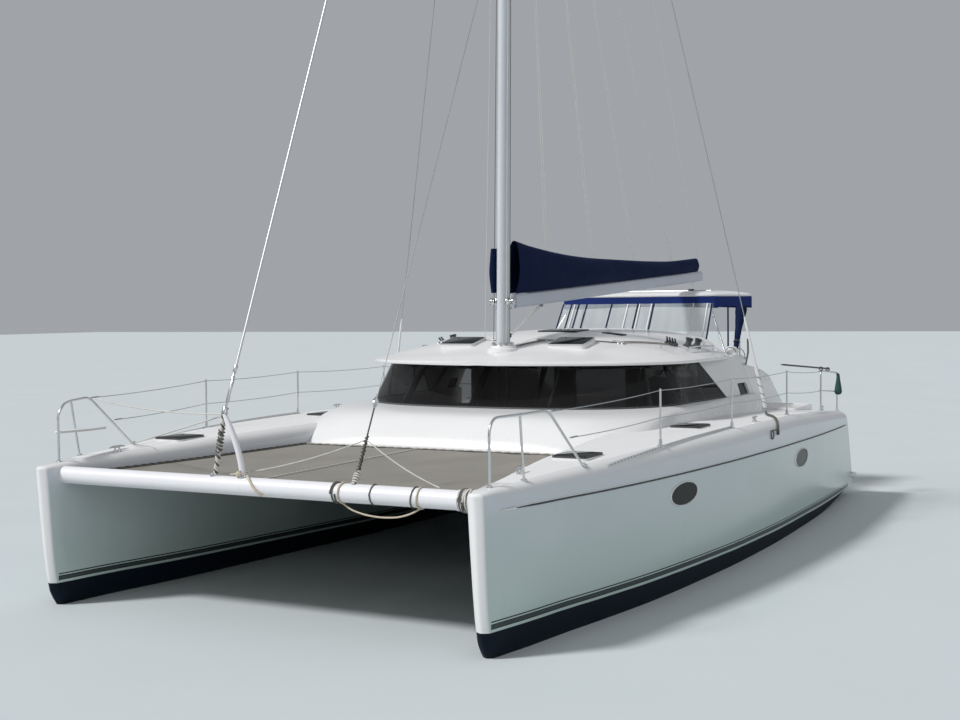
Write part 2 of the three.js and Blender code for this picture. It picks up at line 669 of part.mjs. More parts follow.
// A point on the boom's pin, which stands parallel to the mast
function alongPin(up) {
  return boomPivot.clone().add(new THREE.Vector3(-Math.sin(mastRake) * up, 0, Math.cos(mastRake) * up));
}
function mast() {
  const tube = new THREE.CylinderGeometry(1, 1, mastHead, 20).rotateX(Math.PI / 2).translate(0, 0, mastHead / 2);
  tube.scale(mastLong / 2, mastWide / 2, 1).rotateY(-mastRake).translate(mastFoot.x, 0, mastFoot.z);
  const root = mastAt(spreaderUp);
  const tips = [1, -1].map((s) => new THREE.Vector3(root.x - 340, s * spreaderHalf, root.z + 60));
  const arms = tips.map((tip) => bar(root, tip, 34, 8, 20));
  const crane = bar(mastAt(mastHead - 60), mastAt(mastHead - 60).add(new THREE.Vector3(-330, 0, 10)), 28, 8);
  const lug = bar(alongPin(-112).add(new THREE.Vector3(120, 0, 0)), alongPin(-112), 30, 8);
  const pad = bar(alongPin(-142), alongPin(-boomPin - clearance), 34, 14);
  const stayTang = bar(onForestay(stayTop), hounds, 20, 8);
  const shroudTang = bar(onShroud(shroudTop), shroudHead, 16, 8);
  const whole = joined([solid(tube), ...arms, crane, lug, pad, stayTang, shroudTang, mirrored(shroudTang)]);
  return whole.subtract(roofSolid.translate([0, 0, clearance]));
}
const tangs = { stay: 260, shroud: 620 };
const stayTop = strikerTop.distanceTo(hounds) - tangs.stay;
const shroudTop = chainTop.distanceTo(shroudHead) - tangs.shroud;
function forestay() {
  return bar(onForestay(70 + clearance), onForestay(stayTop - clearance), 13, 8);
}
function shroud() {
  const wire = bar(chainTop, onShroud(shroudTop - clearance), 8, 8);
  const screw = bar(chainTop, onShroud(560), 22, 10);
  const lug = bar(chainTop.clone().add(new THREE.Vector3(0, 0, -250)), chainTop.clone().add(new THREE.Vector3(0, 0, 20)), 24, 10);
  return joined([wire, screw, lug]).subtract(hulls.port.translate([0, 0, clearance]));
}
function hullDeckAt(x) {
  return lookup(hullStations, "deck", x);
}

// Rails: a pulpit on each bow, stanchions with two wires, and a pushpit at each stern
const railTop = 640;
const stanchions = [
  { x: 2970, y: 3215 },
  { x: 660, y: 3350 },
  { x: -1900, y: 3400 },
];
const railFoot = { front: { x: 6180, y: 2690 }, middle: { x: 5720, y: 2825 }, back: { x: 4640, y: 2990 } };
function footAt({ x, y }) {
  return new THREE.Vector3(x, y, hullDeckAt(x) - 40);
}
function raised({ x, y }, up, forward = 0) {
  return new THREE.Vector3(x + forward, y, hullDeckAt(x) + up);
}
function pulpit() {
  const { front, middle, back } = railFoot;
  const topBack = raised({ x: 5430, y: 2950 }, railTop);
  const shoulder = raised({ x: 5830, y: 2840 }, railTop);
  const rise = [footAt(front), raised(front, railTop - 110), raised(front, railTop, -90)];
  const main = pipe([...rise, shoulder, topBack, footAt(back)], 15);
  const leg = pipe([footAt(middle), shoulder], 14);
  return joined([main, leg]).subtract(hulls.port.translate([0, 0, clearance]));
}
function lifelines() {
  const posts = stanchions.map((foot) => bar(footAt(foot), raised(foot, railTop), 13, 8));
  const quarter = { x: -4150, y: 3370 };
  const corner = { x: -5600, y: 3310 };
  const push = pipe([footAt(quarter), raised(quarter, railTop), raised(corner, railTop), footAt(corner)], 15);
  const wireEnds = [{ x: 5400, y: 2962 }, ...stanchions, quarter];
  const wires = [railTop - 14, 320].map((up) => {
    const start = up < 400 ? { x: 4990, y: 2982 } : wireEnds[0];
    return pipe([start, ...wireEnds.slice(1)].map((foot) => raised(foot, up)), 6);
  });
  const whole = joined([...posts, push, ...wires]);
  return whole.subtract(hulls.port.translate([0, 0, clearance])).subtract(pulpitSolid.translate([-clearance, 0, 0]));
}

// Bimini over the after part of the cockpit: posts, hardtop and clear screens
const bimini = { front: -4800, aft: -6090, halfFront: 1430, halfAft: 1790, edge: 3215, rim: 3415, top: 3520 };
function biminiOutline(inset = 0) {
  const { front, aft, halfFront, halfAft } = bimini;
  const middle = (front + aft) / 2;
  const corners = [[front, halfFront - 250], [front - 90, halfFront], [aft + 200, halfAft], [aft, halfAft - 220]];
  const outline = [...corners, ...corners.slice().reverse().map(([x, y]) => [x, -y])];
  return outline.map(([x, y]) => [x - inset * (x - middle) / (front - middle), y - inset * y / halfFront]);
}
function biminiTop() {
  const levels = [
    { z: bimini.rim, inset: 0 },
    { z: bimini.rim + 35, inset: 0 },
    { z: bimini.top - 30, inset: 120 },
    { z: bimini.top, inset: 420 },
  ];
  return loft(levels.map(({ z, inset }) => levelRing(biminiOutline(inset), z)));
}
function biminiSkirt() {
  const outer = plate(biminiOutline(8), bimini.edge, bimini.rim - clearance);
  return outer.subtract(plate(biminiOutline(20), bimini.edge - 10, bimini.rim + 10));
}
const biminiLegs = {
  front: { foot: [-4300, 1960, 1850], knee: [-4900, 1340, 3170], shoulder: [-4925, 1340, 3398] },
  aft: { foot: [-5670, 1620, 1600], knee: [-5990, 1500, 3170], shoulder: [-6010, 1500, 3398] },
};
function biminiFrame() {
  const at = ([x, y, z], s = 1) => new THREE.Vector3(x, s * y, z);
  const hoops = Object.values(biminiLegs).map(({ foot, knee, shoulder }) => {
    return pipe([at(foot), at(knee), at(shoulder), at(shoulder, -1), at(knee, -1), at(foot, -1)], 16);
  });
  const { front, aft } = biminiLegs;
  const rails = [1, -1].map((s) => bar(at(front.shoulder, s), at(aft.shoulder, s), 15));
  return [coamings.port, coamings.starboard, benchSolid].reduce((left, made) => {
    return left.subtract(made.translate([0, 0, clearance]));
  }, joined([...hoops, ...rails]));
}
// Clear front screen, hung from the bimini's front edge and leaning forward over the companionway
function biminiScreen() {
  const filmThick = 4;
  const top = bimini.front - 8 + filmThick + clearance;
  const edges = (x, half) => [[x, -half], [x, half], [x - filmThick, half], [x - filmThick, -half]];
  const low = edges(-4340, 1430);
  const high = edges(top, 1400);
  return loft([levelRing(low, 2620), levelRing(high, 3300)]).subtract(frameSolid);
}

// Boom and the cover over the stowed mainsail, built along -X and then turned to the photo's place
function ontoBoom(geometry) {
  geometry.rotateY(boomLift).rotateZ(-boomYaw);
  return geometry.translate(boomPivot.x, boomPivot.y, boomPivot.z);
}
function boomPlaced(made) {
  return solid(ontoBoom(shape(made)));
}
function boom() {
  const section = (low) => [[-45, low], [45, low], [65, low + 40], [65, 55], [40, 95], [-40, 95], [-65, 55], [-65, low + 40]];
  const ends = [{ x: -75, low: -115 }, { x: -boomLength, low: -80 }];
  const rings = ends.map(({ x, low }) => section(low).map(([y, z]) => new THREE.Vector3(x, y, z)));
  const neck = bar(new THREE.Vector3(0, 0, 0), new THREE.Vector3(-90, 0, 0), 30, 8);
  const pin = bar(alongPin(-boomPin), alongPin(boomPin), 34, 14);
  return boomPlaced(joined([loft(rings), neck])).add(pin);
}
function sailCover() {
  const stations = [
    { x: -60, low: 95.3, top: 840, wide: 120 },
    { x: -500, low: 95.3, top: 740, wide: 150 },
    { x: -1300, low: 95.3, top: 610, wide: 160 },
    { x: -2500, low: 95.3, top: 480, wide: 150 },
    { x: -4000, low: 95.3, top: 365, wide: 130 },
    { x: -5200, low: 95.3, top: 325, wide: 105 },
    { x: -5800, low: 95.3, top: 325, wide: 70 },
  ];
  const rings = stations.map(({ x, low, top, wide }) => {
    const tall = top - low;
    const outline = [[wide * 0.55, 0], [wide, tall * 0.25], [wide * 0.8, tall * 0.6], [wide * 0.3, tall * 0.95], [0, tall]];
    const other = outline.slice(0, -1).reverse().map(([y, z]) => [-y, z]);
    return [...outline, ...other].map(([y, z]) => new THREE.Vector3(x, y, low + z));
  });
  return boomPlaced(loft(rings));
}

// Assembly
const trunkSolid = cabinTrunk();
const roofSolid = cabinRoof();
const mastSolid = mast();
const pulpitSolid = pulpit();
const strikerSolid = striker();
const coamings = { port: coaming(), starboard: mirrored(coaming()) };
const benchSolid = cockpitBench();
const frameSolid = biminiFrame();

const paired = {
  keel: ["antifoul", keel(hulls.port)],
  saildrive: ["antifoul", saildrive(hulls.port)],
  engine: ["engineGrey", engine()],
  propeller: ["bronze", propeller()],
  rudder: ["antifoul", rudder()],
  engine_hatch: ["gelcoat", hatchLid(engineLid)],
  fore_hatch: ["glass", hatchLid(deckHatches.fore)],
  mid_hatch: ["glass", hatchLid(deckHatches.mid)],
  cabin_side: ["gelcoat", cabinSide()],
  glass_side: ["glass", glassSide()],
  shroud: ["steel", shroud()],
  pulpit: ["steel", pulpitSolid],
  lifelines: ["steel", lifelines()],
};
for (const [name, [finish, made]] of Object.entries(paired)) {
  addMesh(`${name}_port`, finish, shape(made));
  addMesh(`${name}_starboard`, finish, shape(mirrored(made)));
}
for (const side of Object.keys(sides)) {
  addMesh(`hull_${side}`, "gelcoat", shape(hulls[side]));
  addMesh(`coaming_${side}`, "gelcoat", shape(coamings[side]));
  addMesh(`trampoline_${side}`, "net", shape(trampoline(sides[side])));
  addMesh(`roof_hatch_${side}`, "glass", shape(hatchLid(roofHatches[side])));
}

addMesh("bridgedeck", "gelcoat", shape(bridgedeck()));
addMesh("cabin_trunk", "gelcoat", shape(trunkSolid));
addMesh("cabin_roof", "gelcoat", shape(roofSolid));
addMesh("glass_front", "glass", shape(glassFront()));
addMesh("aft_bulkhead", "gelcoat", shape(aftBulkhead()));
addMesh("saloon_door", "glass", shape(saloonDoor()));
addMesh("saloon_settee", "cushion", shape(saloonSettee()));
addMesh("cockpit_bench", "gelcoat", shape(benchSolid));
addMesh("helm_console", "gelcoat", shape(helmConsole()));
addMesh("steering_wheel", "steel", shape(steeringWheel()));
addMesh("helm_seat", "cushion", shape(helmSeat()));
addMesh("crossbeam", "alloy", shape(crossbeam()));
addMesh("striker", "alloy", shape(strikerSolid));
addMesh("mast", "mastWhite", shape(mastSolid));
addMesh("forestay", "steel", shape(forestay()));
addMesh("boom", "alloy", shape(boom()));
addMesh("sail_cover", "navyCloth", shape(sailCover()));
addMesh("bimini_frame", "steel", shape(frameSolid));
addMesh("bimini_top", "gelcoat", shape(biminiTop()));
addMesh("bimini_skirt", "blueCloth", shape(biminiSkirt()));
addMesh("bimini_screen", "clearFilm", shape(biminiScreen()));

export default group;
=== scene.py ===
# The looks of a cruising sailing catamaran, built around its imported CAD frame.
# Metres. +X points forward, +Y to port, +Z up, and the waterline is at z = 0.
import math

import bmesh
import bpy
from mathutils import Matrix, Vector


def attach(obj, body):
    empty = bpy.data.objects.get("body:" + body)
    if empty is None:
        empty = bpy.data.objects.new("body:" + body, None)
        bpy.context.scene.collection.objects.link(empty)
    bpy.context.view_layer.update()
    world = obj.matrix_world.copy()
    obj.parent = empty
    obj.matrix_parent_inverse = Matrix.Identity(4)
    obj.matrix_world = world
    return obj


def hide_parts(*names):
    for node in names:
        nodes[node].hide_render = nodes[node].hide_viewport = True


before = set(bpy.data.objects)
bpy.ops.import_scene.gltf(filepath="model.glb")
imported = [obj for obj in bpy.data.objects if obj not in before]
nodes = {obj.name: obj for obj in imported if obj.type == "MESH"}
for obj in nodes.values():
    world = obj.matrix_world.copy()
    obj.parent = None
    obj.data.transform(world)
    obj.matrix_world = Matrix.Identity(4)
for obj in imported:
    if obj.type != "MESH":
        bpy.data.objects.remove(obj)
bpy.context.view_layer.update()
scene = bpy.context.scene
SIDES = {"port": 1, "starboard": -1}

# Camera
# It stands ahead of the port bow, a little above the deck.
eye = Vector((17.065, 8.241, 3.239))
eye_yaw, eye_pitch, eye_roll = 3.6195, -0.0386, -0.0098
focal_pixels = 1323.79
photo_width = 960
look = Vector(
    (math.cos(eye_yaw) * math.cos(eye_pitch), math.sin(eye_yaw) * math.cos(eye_pitch), math.sin(eye_pitch))
)
level = Vector((math.sin(eye_yaw), -math.cos(eye_yaw), 0))
above = level.cross(look)
right = math.cos(eye_roll) * level + math.sin(eye_roll) * above
up = math.cos(eye_roll) * above - math.sin(eye_roll) * level
camera_data = bpy.data.cameras.new("camera")
camera_data.sensor_width = 36
camera_data.lens = focal_pixels * camera_data.sensor_width / photo_width
camera_data.clip_end = 500
camera = bpy.data.objects.new("camera", camera_data)
camera.matrix_world = Matrix((
    (right.x, up.x, -look.x, eye.x),
    (right.y, up.y, -look.y, eye.y),
    (right.z, up.z, -look.z, eye.z),
    (0, 0, 0, 1),
))
scene.collection.objects.link(camera)
scene.camera = camera

# Studio
# A broad soft key from high on the starboard bow, a weak fill from port, and an even pale room. The
# plain display transform keeps the gelcoat white and the canvas dark.
scene.view_settings.view_transform = "Standard"


def sun(name, strength, direction, softness):
    data = bpy.data.lights.new(name, "SUN")
    data.energy = strength
    data.angle = math.radians(softness)
    lamp = bpy.data.objects.new(name, data)
    lamp.rotation_euler = Vector(direction).to_track_quat("-Z", "Y").to_euler()
    scene.collection.objects.link(lamp)


room_colour, room_strength = (0.84, 0.88, 0.93, 1), 0.42
sun("key", 2.7, (-0.75, 0.62, -1.0), 9)
sun("fill", 0.25, (-0.6, -0.9, -0.45), 40)
world = bpy.data.worlds.new("room")
world.use_nodes = True
background = world.node_tree.nodes["Background"]
background.inputs["Color"].default_value = room_colour
background.inputs["Strength"].default_value = room_strength
scene.world = world


# Shader arithmetic, used by every finish below
class Wire:
    """A shader socket that adds its own nodes when it is used in an expression."""

    def __init__(self, tree, socket):
        self.tree = tree
        self.socket = socket

    def node(self, kind, inputs, output=0, **settings):
        made = self.tree.nodes.new(kind)
        for key, value in settings.items():
            setattr(made, key, value)
        for key, value in inputs.items():
            if isinstance(value, Wire):
                self.tree.links.new(value.socket, made.inputs[key])
            else:
                made.inputs[key].default_value = value
        return Wire(self.tree, made.outputs[output])

    def math(self, operation, first, second=0.0):
        return self.node("ShaderNodeMath", {0: first, 1: second}, operation=operation)

    def __add__(self, other):
        return self.math("ADD", self, other)

    def __sub__(self, other):
        return self.math("SUBTRACT", self, other)

    def __rsub__(self, other):
        return self.math("SUBTRACT", other, self)

    def __mul__(self, other):
        return self.math("MULTIPLY", self, other)

    def __truediv__(self, other):
        return self.math("DIVIDE", self, other)

    def __gt__(self, other):
        return self.math("GREATER_THAN", self, other)

    def __lt__(self, other):
        return self.math("LESS_THAN", self, other)

    __radd__ = __add__
    __rmul__ = __mul__

    def sine(self):
        return self.math("SINE", self)

    def between(self, low, high):
        return (self > low) * (self < high)

    def ease(self, low, high):
        inputs = {"Value": self, "From Min": low, "From Max": high}
        return self.node("ShaderNodeMapRange", inputs, interpolation_type="SMOOTHSTEP")

    def paint(self, under, over):
        """Colour under where this is 0, and over where it is 1."""
        colours = [c if isinstance(c, Wire) else (*c, 1) for c in (under, over)]
        inputs = {"Factor": self, "A": colours[0], "B": colours[1]}
        made = self.tree.nodes.new("ShaderNodeMix")
        made.data_type = "RGBA"
        for socket in made.inputs:
            value = inputs.get(socket.name)
            wanted = "VALUE" if socket.name == "Factor" else "RGBA"
            if socket.type != wanted:
                continue
            if isinstance(value, Wire):
                self.tree.links.new(value.socket, socket)
            elif value is not None:
                socket.default_value = value
        return Wire(self.tree, next(s for s in made.outputs if s.type == "RGBA"))

    def axes(self):
        parts = self.tree.nodes.new("ShaderNodeSeparateXYZ")
        self.tree.links.new(self.socket, parts.inputs[0])
        return [Wire(self.tree, parts.outputs[i]) for i in range(3)]

    def noise(self, scale, detail=2.0, rough=0.5):
        return self.node(
            "ShaderNodeTexNoise", {"Vector": self, "Scale": scale, "Detail": detail, "Roughness": rough},
        )

    def cells(self, scale, feature="F1"):
        return self.node("ShaderNodeTexVoronoi", {"Vector": self, "Scale": scale}, feature=feature)

    def stretched(self, x, y, z):
        return self.node("ShaderNodeVectorMath", {0: self, 1: (x, y, z)}, operation="MULTIPLY")

    def bump(self, distance, strength=1.0):
        return self.node("ShaderNodeBump", {"Height": self, "Distance": distance, "Strength": strength})


def start_finish(name):
    """A new material: its principled shader and its object coordinates."""
    made = bpy.data.materials.new(name)
    made.use_nodes = True
    tree = made.node_tree
    coordinates = tree.nodes.new("ShaderNodeTexCoord")
    return made, Wire(tree, coordinates.outputs["Object"])


def close_finish(made, **sockets):
    shader = made.node_tree.nodes["Principled BSDF"]
    for name, value in sockets.items():
        socket = shader.inputs[name.replace("_", " ").title().replace("Ior", "IOR")]
        if isinstance(value, Wire):
            made.node_tree.links.new(value.socket, socket)
        elif hasattr(value, "__len__"):
            socket.default_value = (*value, 1)
        else:
            socket.default_value = value
    return made


def facing(point):
    """The surface's own normal in object space."""
    geometry = point.tree.nodes.new("ShaderNodeTexCoord")
    return Wire(point.tree, geometry.outputs["Normal"])


# Floor
# One pale matt sheet at the waterline, where the water would be.
floor_mesh = bmesh.new()
bmesh.ops.create_grid(floor_mesh, x_segments=1, y_segments=1, size=150)
floor_data = bpy.data.meshes.new("floor")
floor_mesh.to_mesh(floor_data)
floor_mesh.free()
floor = bpy.data.objects.new("floor", floor_data)
scene.collection.objects.link(floor)
floor_paint, floor_point = start_finish("floor_paint")
floor_shade = floor_point.noise(0.4)
floor_data.materials.append(close_finish(
    floor_paint,
    base_color=floor_shade.paint((0.55, 0.60, 0.61), (0.60, 0.64, 0.65)),
    roughness=0.85,
))

# Hulls
# Two slim moulded hulls in white gelcoat with a navy bottom, a grey double stripe above it, soft
# gunwales, transom steps and an engine bay. Rings follow the stations, and the hollows are cut out.
STATIONS = {
    "x": (
        6.500, 6.455, 6.250, 5.800, 5.200, 4.400, 3.300, 2.000, 0.500, -1.200, -3.000, -4.400, -5.300,
        -6.150,
    ),
    "outer": (
        2.720, 2.752, 2.790, 2.868, 2.955, 3.095, 3.262, 3.400, 3.510, 3.560, 3.555, 3.520, 3.480, 3.440,
    ),
    "inner": (
        2.645, 2.608, 2.580, 2.535, 2.440, 2.320, 2.200, 2.060, 1.900, 1.800, 1.790, 1.830, 1.890, 1.950,
    ),
    "bottom": (
        -0.06, -0.11, -0.19, -0.29, -0.37, -0.43, -0.475, -0.5, -0.51, -0.49, -0.4, -0.23, -0.05, 0.17,
    ),
    "deck": (
        1.535, 1.560, 1.580, 1.600, 1.620, 1.645, 1.675, 1.690, 1.690, 1.680, 1.620, 1.545, 1.480, 1.430,
    ),
    "round": (
        0.018, 0.045, 0.075, 0.110, 0.130, 0.150, 0.170, 0.180, 0.180, 0.180, 0.180, 0.170, 0.150, 0.120,
    ),
    "rake": (1.0, 1.0, 0.95, 0.75, 0.5, 0.25, 0, 0, 0, 0, 0, 0, 0, 0),
}
STEM = {"x": (1.6, 0.25, 0.0, -0.2, -0.52), "back": (0, 0.13, 0.24, 0.46, 1.1)}
bilge_top = 0.16
stem_x, stern_x = STATIONS["x"][0], STATIONS["x"][-1]


def straight(table, column, x):
    """Straight-line reading of a table whose x falls."""
    xs, ys = table["x"], table[column]
    if x >= xs[0]:
        return ys[0]
    for i in range(1, len(xs)):
        if x >= xs[i]:
            t = (x - xs[i]) / (xs[i - 1] - xs[i])
            return ys[i] + t * (ys[i - 1] - ys[i])
    return ys[-1]


def fair(table, column, x):
    """Smooth reading of a table whose x falls: cubic pieces that never overshoot the rows."""
    xs, ys = table["x"], table[column]
    if x >= xs[0]:
        return ys[0]
    if x <= xs[-1]:
        return ys[-1]
    slopes = [(ys[i + 1] - ys[i]) / (xs[i + 1] - xs[i]) for i in range(len(xs) - 1)]
    i = next(k for k in range(1, len(xs)) if x >= xs[k]) - 1

    def tangent(k):
        if k in (0, len(xs) - 1):
            return slopes[min(k, len(slopes) - 1)]
        before, after = slopes[k - 1], slopes[k]
        return 2 * before * after / (before + after) if before * after > 0 else 0.0

    width = xs[i + 1] - xs[i]
    t = (x - xs[i]) / width
    low, high = ys[i], ys[i + 1]
    return (
        low * (1 + 2 * t) * (1 - t) ** 2
        + width * tangent(i) * t * (1 - t) ** 2
        + high * t * t * (3 - 2 * t)
        + width * tangent(i + 1) * t * t * (t - 1)
    )


def hull_ring(x, bilge_steps=12, gunwale_steps=8):
    outer, inner, bottom, deck, soft, rake = (
        fair(STATIONS, key, x) for key in ("outer", "inner", "bottom", "deck", "round", "rake")
    )
    middle, half = (outer + inner) / 2, (outer - inner) / 2
    flare = min(0.03, half * 0.2)
    side = []
    for i in range(bilge_steps + 1):
        turn = i / bilge_steps * math.pi / 2
        side.append((math.sin(turn) * half, bilge_top - (bilge_top - bottom) * math.cos(turn)))
    for share in (0.15, 0.35, 0.6, 0.85):
        rise = bilge_top + (deck - soft - bilge_top) * share
        side.append((half + flare * min(1, share * 1.15), rise))
    for i in range(gunwale_steps + 1):
        turn = i / gunwale_steps * math.pi / 2
        side.append((half + flare - soft + soft * math.cos(turn), deck - soft + soft * math.sin(turn)))
    ring = [(middle + y, z) for y, z in side] + [(middle - y, z) for y, z in reversed(side[1:])]
    return [Vector((x - rake * fair(STEM, "back", z), y, z)) for y, z in ring]


def skin(rings, capped=True, closed=True):
    """A surface skinned over rings of points: each ring's edges are extruded into the next."""
    made = bmesh.new()
    line = [made.verts.new(p) for p in rings[0]]
    pairs = range(0 if closed else 1, len(line))
    edges = [made.edges.new((line[i - 1], line[i])) for i in pairs]
    if capped:
        made.faces.new(line)
    for ring in rings[1:]:
        grown = set(bmesh.ops.extrude_edge_only(made, edges=edges)["geom"])
        line = [next(e.other_vert(v) for e in v.link_edges if e.other_vert(v) in grown) for v in line]
        for vert, point in zip(line, ring):
            vert.co = point
        edges = [made.edges.get((line[i - 1], line[i])) for i in pairs]
    if capped:
        made.faces.new(line)
    bmesh.ops.recalc_face_normals(made, faces=made.faces)
    return made


def block(low, high):
    """A plain box, used for cutting and as the start of other shapes."""
    made = bmesh.new()
    size = [b - a for a, b in zip(low, high)]
    bmesh.ops.create_cube(made, size=1)
    bmesh.ops.scale(made, vec=size, verts=made.verts)
    bmesh.ops.translate(made, vec=[a + s / 2 for a, s in zip(low, size)], verts=made.verts)
    return made


def prism(outline, across, low, high):
    """A flat outline pushed from low to high. The outline is given in the two axes that across isn't."""
    def place(pair, depth):
        point = list(pair)
        point.insert("xyz".index(across), depth)
        return Vector(point)

    return skin([[place(p, low) for p in outline], [place(p, high) for p in outline]])


def joined(parts):
    """Several bmeshes as one."""
    whole = bmesh.new()
    for part in parts:
        carrier = bpy.data.meshes.new("carrier")
        part.to_mesh(carrier)
        part.free()
        whole.from_mesh(carrier)
        bpy.data.meshes.remove(carrier)
    return whole


def mirrored(made):
    """The same shape on the other side of the centreline."""
    bmesh.ops.scale(made, vec=(1, -1, 1), verts=made.verts)
    bmesh.ops.reverse_faces(made, faces=made.faces)
    return made


def on_side(sign, *parts):
    """Parts that are drawn to port, as they are or mirrored to starboard."""
    return parts if sign > 0 else [mirrored(part) for part in parts]


def soft_corners(made, radius, taller=0.01):
    """The same block with its upright edges rounded."""
    edges = [e for e in made.edges if abs(e.verts[0].co.z - e.verts[1].co.z) > taller]
    bmesh.ops.bevel(made, geom=edges, offset=radius, segments=6, profile=0.5, affect="EDGES", material=-1)
    return made


def rounded(made, radius, segments=2, sharper_than=30):
    """The same shape with its sharp edges rounded."""
    edges = [
        e for e in made.edges if len(e.link_faces) == 2 and e.calc_face_angle() > math.radians(sharper_than)
    ]
    bmesh.ops.bevel(
        made, geom=edges, offset=radius, segments=segments, profile=0.5, affect="EDGES", material=-1,
        clamp_overlap=True,
    )
    return made


def settle(made, name, finish, replaced=(), body="boat", sharp=32, cutters=()):
    """The finished piece: cut, smooth shaded, painted, and riding on its body."""
    mesh = bpy.data.meshes.new(name)
    made.to_mesh(mesh)
    made.free()
    obj = bpy.data.objects.new(name, mesh)
    scene.collection.objects.link(obj)
    if cutters:
        tools = []
        for i, cutter in enumerate(cutters):
            tool_mesh = bpy.data.meshes.new("tool")
            cutter.to_mesh(tool_mesh)
            cutter.free()
            tool = bpy.data.objects.new("tool", tool_mesh)
            scene.collection.objects.link(tool)
            modifier = obj.modifiers.new(f"cut_{i}", "BOOLEAN")
            modifier.object = tool
            modifier.operation = "DIFFERENCE"
            modifier.solver = "EXACT"
            tools.append(tool)
        bpy.context.view_layer.update()
        graph = bpy.context.evaluated_depsgraph_get()
        cut_mesh = bpy.data.meshes.new_from_object(obj.evaluated_get(graph))
        obj.modifiers.clear()
        obj.data = cut_mesh
        bpy.data.meshes.remove(mesh)
        for tool in tools:
            bpy.data.objects.remove(tool)
        mesh = cut_mesh
        mesh.name = name
    mesh.materials.clear()
    mesh.materials.append(finish)
    mesh.shade_smooth()
    mesh.set_sharp_from_angle(angle=math.radians(sharp))
    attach(obj, body)
    if replaced:
        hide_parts(*replaced)
    return obj


def gelcoat_finish():
    """White gelcoat: a faint mottle, dull chalky patches on top, and a painted greenish shade and water
    reflection on low faces that don't point up.
    """
    made, point = start_finish("gelcoat")
    z = point.axes()[2]
    upward = facing(point).axes()[2]
    mottle = point.noise(1.7, 4)
    chalk = point.noise(9, 6, 0.65)
    topside = 1 - z.ease(0.9, 1.55)
    white = mottle.paint((0.75, 0.745, 0.745), (0.80, 0.795, 0.79))
    # Painted shade and reflection: low faces that don't point up get a greenish grey in place of the shade
    # and reflected water.
    painted_shade_green = mottle.paint((0.56, 0.62, 0.605), (0.62, 0.67, 0.655))
    base = (topside * (1 - upward.ease(0.2, 0.8))).paint(white, painted_shade_green)
    streaks = point.stretched(6, 6, 0.35).noise(1.5, 3).ease(0.62, 0.8)
    base = (streaks * 0.10).paint(base, (0.42, 0.42, 0.36))
    return close_finish(
        made,
        base_color=base,
        roughness=0.20 + chalk * 0.12 + upward.ease(0.6, 0.95) * 0.16,
        coat_weight=0.35,
        normal=chalk.bump(0.0008, 0.25),
    )


navy_top, navy_trim = 0.190, 0.0105


def hull_finish():
    """The same gelcoat with painted greenish shade and water reflection on the sides, the navy bottom, the
    white gap, the dark double stripe and the deck's grip.
    """
    made, point = start_finish("hull_gelcoat")
    x, y, z = point.axes()
    forward, _, upward = facing(point).axes()
    mottle = point.noise(1.3, 4)
    chalk = point.noise(9, 6, 0.65)
    white = mottle.paint((0.76, 0.755, 0.755), (0.81, 0.805, 0.80))
    # Painted shade and reflection: the sides take a greenish grey for shade and reflected water, greener
    # low down and paler above the rail; faces turned up or forward to the key light stay white.
    painted_shade_green = mottle.paint((0.48, 0.555, 0.560), (0.55, 0.615, 0.615))
    green = z.ease(0.1, 1.2).paint((0.46, 0.56, 0.53), painted_shade_green)
    green = z.ease(1.28, 1.46).paint(green, (0.60, 0.63, 0.67))
    base = upward.ease(-0.05, 0.75).paint(green, white)
    base = forward.ease(0.35, 0.85).paint(base, white)
    runs = point.stretched(5, 5, 0.3).noise(1.6, 3).ease(0.60, 0.82) * (1 - upward.ease(0.2, 0.6))
    base = (runs * 0.12).paint(base, (0.36, 0.38, 0.30))
    over_navy = z - (x * navy_trim + navy_top)
    striped = (x < 6.31) * (x > -5.75)
    wide = over_navy.between(0.028, 0.080) * striped
    core = over_navy.between(0.037, 0.071) * (x < 6.30) * (x > -5.73)
    thin = over_navy.between(0.093, 0.107) * striped
    base = wide.paint(base, (0.018, 0.026, 0.027))
    base = core.paint(base, (0.050, 0.064, 0.062))
    base = thin.paint(base, (0.030, 0.040, 0.040))
    below = over_navy < (point.noise(3, 3) - 0.5) * 0.006
    worn = point.noise(14, 5, 0.6)
    navy = worn.paint((0.001, 0.005, 0.011), (0.003, 0.009, 0.020))
    slime = (1 - z.ease(0.0, 0.10)) * point.noise(6, 4).ease(0.35, 0.7)
    navy = (slime * 0.30).paint(navy, (0.020, 0.030, 0.022))
    base = below.paint(base, navy)
    grip_area = (upward > 0.985) * (z > 1.35) * (x < 5.9)
    grip = point.cells(260)
    base = (grip_area * 0.12).paint(base, (0.60, 0.61, 0.60))
    height = chalk * 0.15 + grip * grip_area * 0.6 + worn * below * 0.5
    return close_finish(
        made,
        base_color=base,
        roughness=0.17 + chalk * 0.08 + grip_area * 0.35 + below * 0.42,
        coat_weight=0.5 * (1 - below) * (1 - grip_area) * (1 - wide * 0.7),
        specular_ior_level=0.15,
        normal=height.bump(0.0012, 0.4),
    )


gelcoat = gelcoat_finish()
hull_paint = hull_finish()

hull_steps = 84
bow_round = 0.05
hull_xs = [stem_x - bow_round * (1 - math.cos(i / 6 * math.pi / 2)) for i in range(6)]
hull_xs += [
    stem_x - bow_round - (stem_x - bow_round - stern_x) * i / hull_steps for i in range(hull_steps + 1)
]


def hull_shape():
    rings = []
    for x in hull_xs:
        ring = hull_ring(x)
        into = min(1, (stem_x - x) / bow_round)
        squeeze = math.sqrt(max(0, 1 - (1 - into) ** 2))
        middle = sum(p.y for p in ring) / len(ring)
        rings.append([Vector((p.x, middle + (p.y - middle) * squeeze, p.z)) for p in ring])
    made = skin(rings)
    stem_cap = [f for f in made.faces if len(f.verts) > 4 and f.calc_area() < 1e-6]
    bmesh.ops.delete(made, geom=stem_cap, context="FACES_ONLY")
    bmesh.ops.remove_doubles(made, verts=made.verts, dist=1e-4)
    return made


